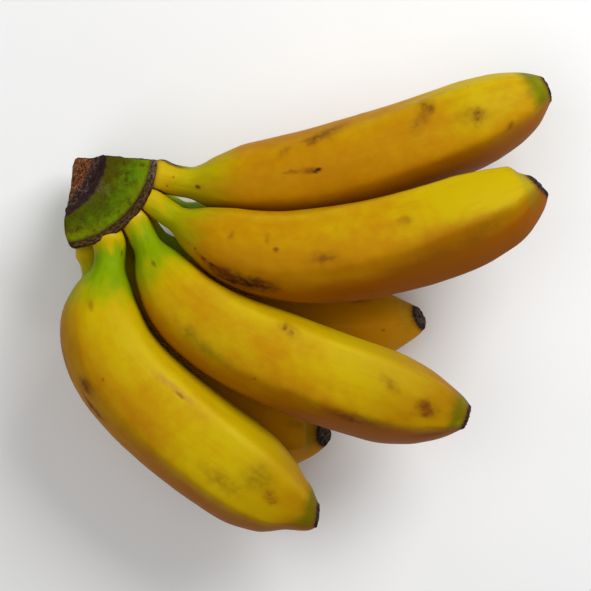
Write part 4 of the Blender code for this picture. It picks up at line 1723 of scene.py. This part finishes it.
@dataclass(frozen=True)
class FloorFinish:
    """A plain pale floor."""

    pale: Colour = (0.88, 0.88, 0.88)
    paler: Colour = (0.90, 0.90, 0.90)
    cloud_mm: float = 60.0
    roughness: float = 0.8
    specular: float = 0.2
    bump: float = 0.02

    def make(self) -> bpy.types.Material:
        """Makes the floor's material."""
        bench = Bench("pale_floor")
        cloud = bench.noise(bench.place_mm(), self.cloud_mm, 2.0)
        colour = bench.mix(cloud.fade(0.3, 0.7), self.pale, self.paler)
        return bench.finish(colour, self.roughness, cloud, self.bump, self.specular)


@dataclass
class Studio:
    """The floor, the lights and the camera that looks straight down."""

    floor_side: float = 6.0
    pixel: float = 0.315 * MM
    pixels_across: int = 591
    row_height: float = 41.0 * MM
    camera_above_row: float = 600.0 * MM
    camera_place: tuple[float, float] = (-2.83 * MM, 2.51 * MM)
    key_place: tuple[float, float, float] = (0.42, 0.46, 0.62)
    key_size: float = 0.5
    key_power: float = 6.0
    fill_place: tuple[float, float, float] = (-0.35, -0.1, 0.9)
    fill_size: float = 0.9
    fill_power: float = 3.0
    sky: float = 0.28

    def build(self) -> None:
        """Makes the floor, the lights, the sky and the camera."""
        self.lay_floor()
        self.hang_light("key", self.key_place, self.key_size, self.key_power)
        self.hang_light("fill", self.fill_place, self.fill_size, self.fill_power)
        world = bpy.data.worlds.new("studio_sky")
        world.use_nodes = True
        background = world.node_tree.nodes["Background"]
        background.inputs["Color"].default_value = (1.0, 1.0, 1.0, 1.0)
        background.inputs["Strength"].default_value = self.sky
        bpy.context.scene.world = world
        bpy.context.scene.view_settings.view_transform = "Standard"
        self.set_camera()

    def lay_floor(self) -> None:
        """Lays the floor, which isn't part of the object."""
        half = self.floor_side / 2
        corners = [(-half, -half, 0.0), (half, -half, 0.0), (half, half, 0.0), (-half, half, 0.0)]
        data = bpy.data.meshes.new("floor")
        data.from_pydata(corners, [], [(0, 1, 2, 3)])
        data.materials.append(FloorFinish().make())
        floor = bpy.data.objects.new("floor", data)
        bpy.context.scene.collection.objects.link(floor)

    @staticmethod
    def hang_light(name: str, place: tuple[float, float, float], size: float,
                   power: float) -> None:
        """Hangs a square soft light that faces the object.

        Args:
            name: The light's name.
            place: Where it hangs.
            size: The length of its side.
            power: Its power, in watts.
        """
        lamp = bpy.data.lights.new(name, "AREA")
        lamp.size = size
        lamp.energy = power
        light = bpy.data.objects.new(name, lamp)
        light.location = place
        light.rotation_euler = (-Vector(place)).to_track_quat("-Z", "Y").to_euler()
        bpy.context.scene.collection.objects.link(light)

    def set_camera(self) -> None:
        """Looks straight down on the hand."""
        lens = bpy.data.cameras.new("camera")
        half = self.pixels_across * self.pixel / 2
        lens.angle = 2 * math.atan(half / self.camera_above_row)
        camera = bpy.data.objects.new("camera", lens)
        camera.location = (*self.camera_place, self.row_height + self.camera_above_row)
        bpy.context.scene.collection.objects.link(camera)
        bpy.context.scene.camera = camera


def main() -> None:
    """Builds the crown, the fingers and the studio, and reports each piece."""
    logging.basicConfig(level=logging.INFO, format="%(message)s")
    crown = Crown()
    pieces = [crown.build(), *Fingers(crown).build()]
    for piece in pieces:
        LOG.info("%s: %d faces", piece.name, len(piece.data.polygons))
    Studio().build()


if __name__ == "__main__":
    main()
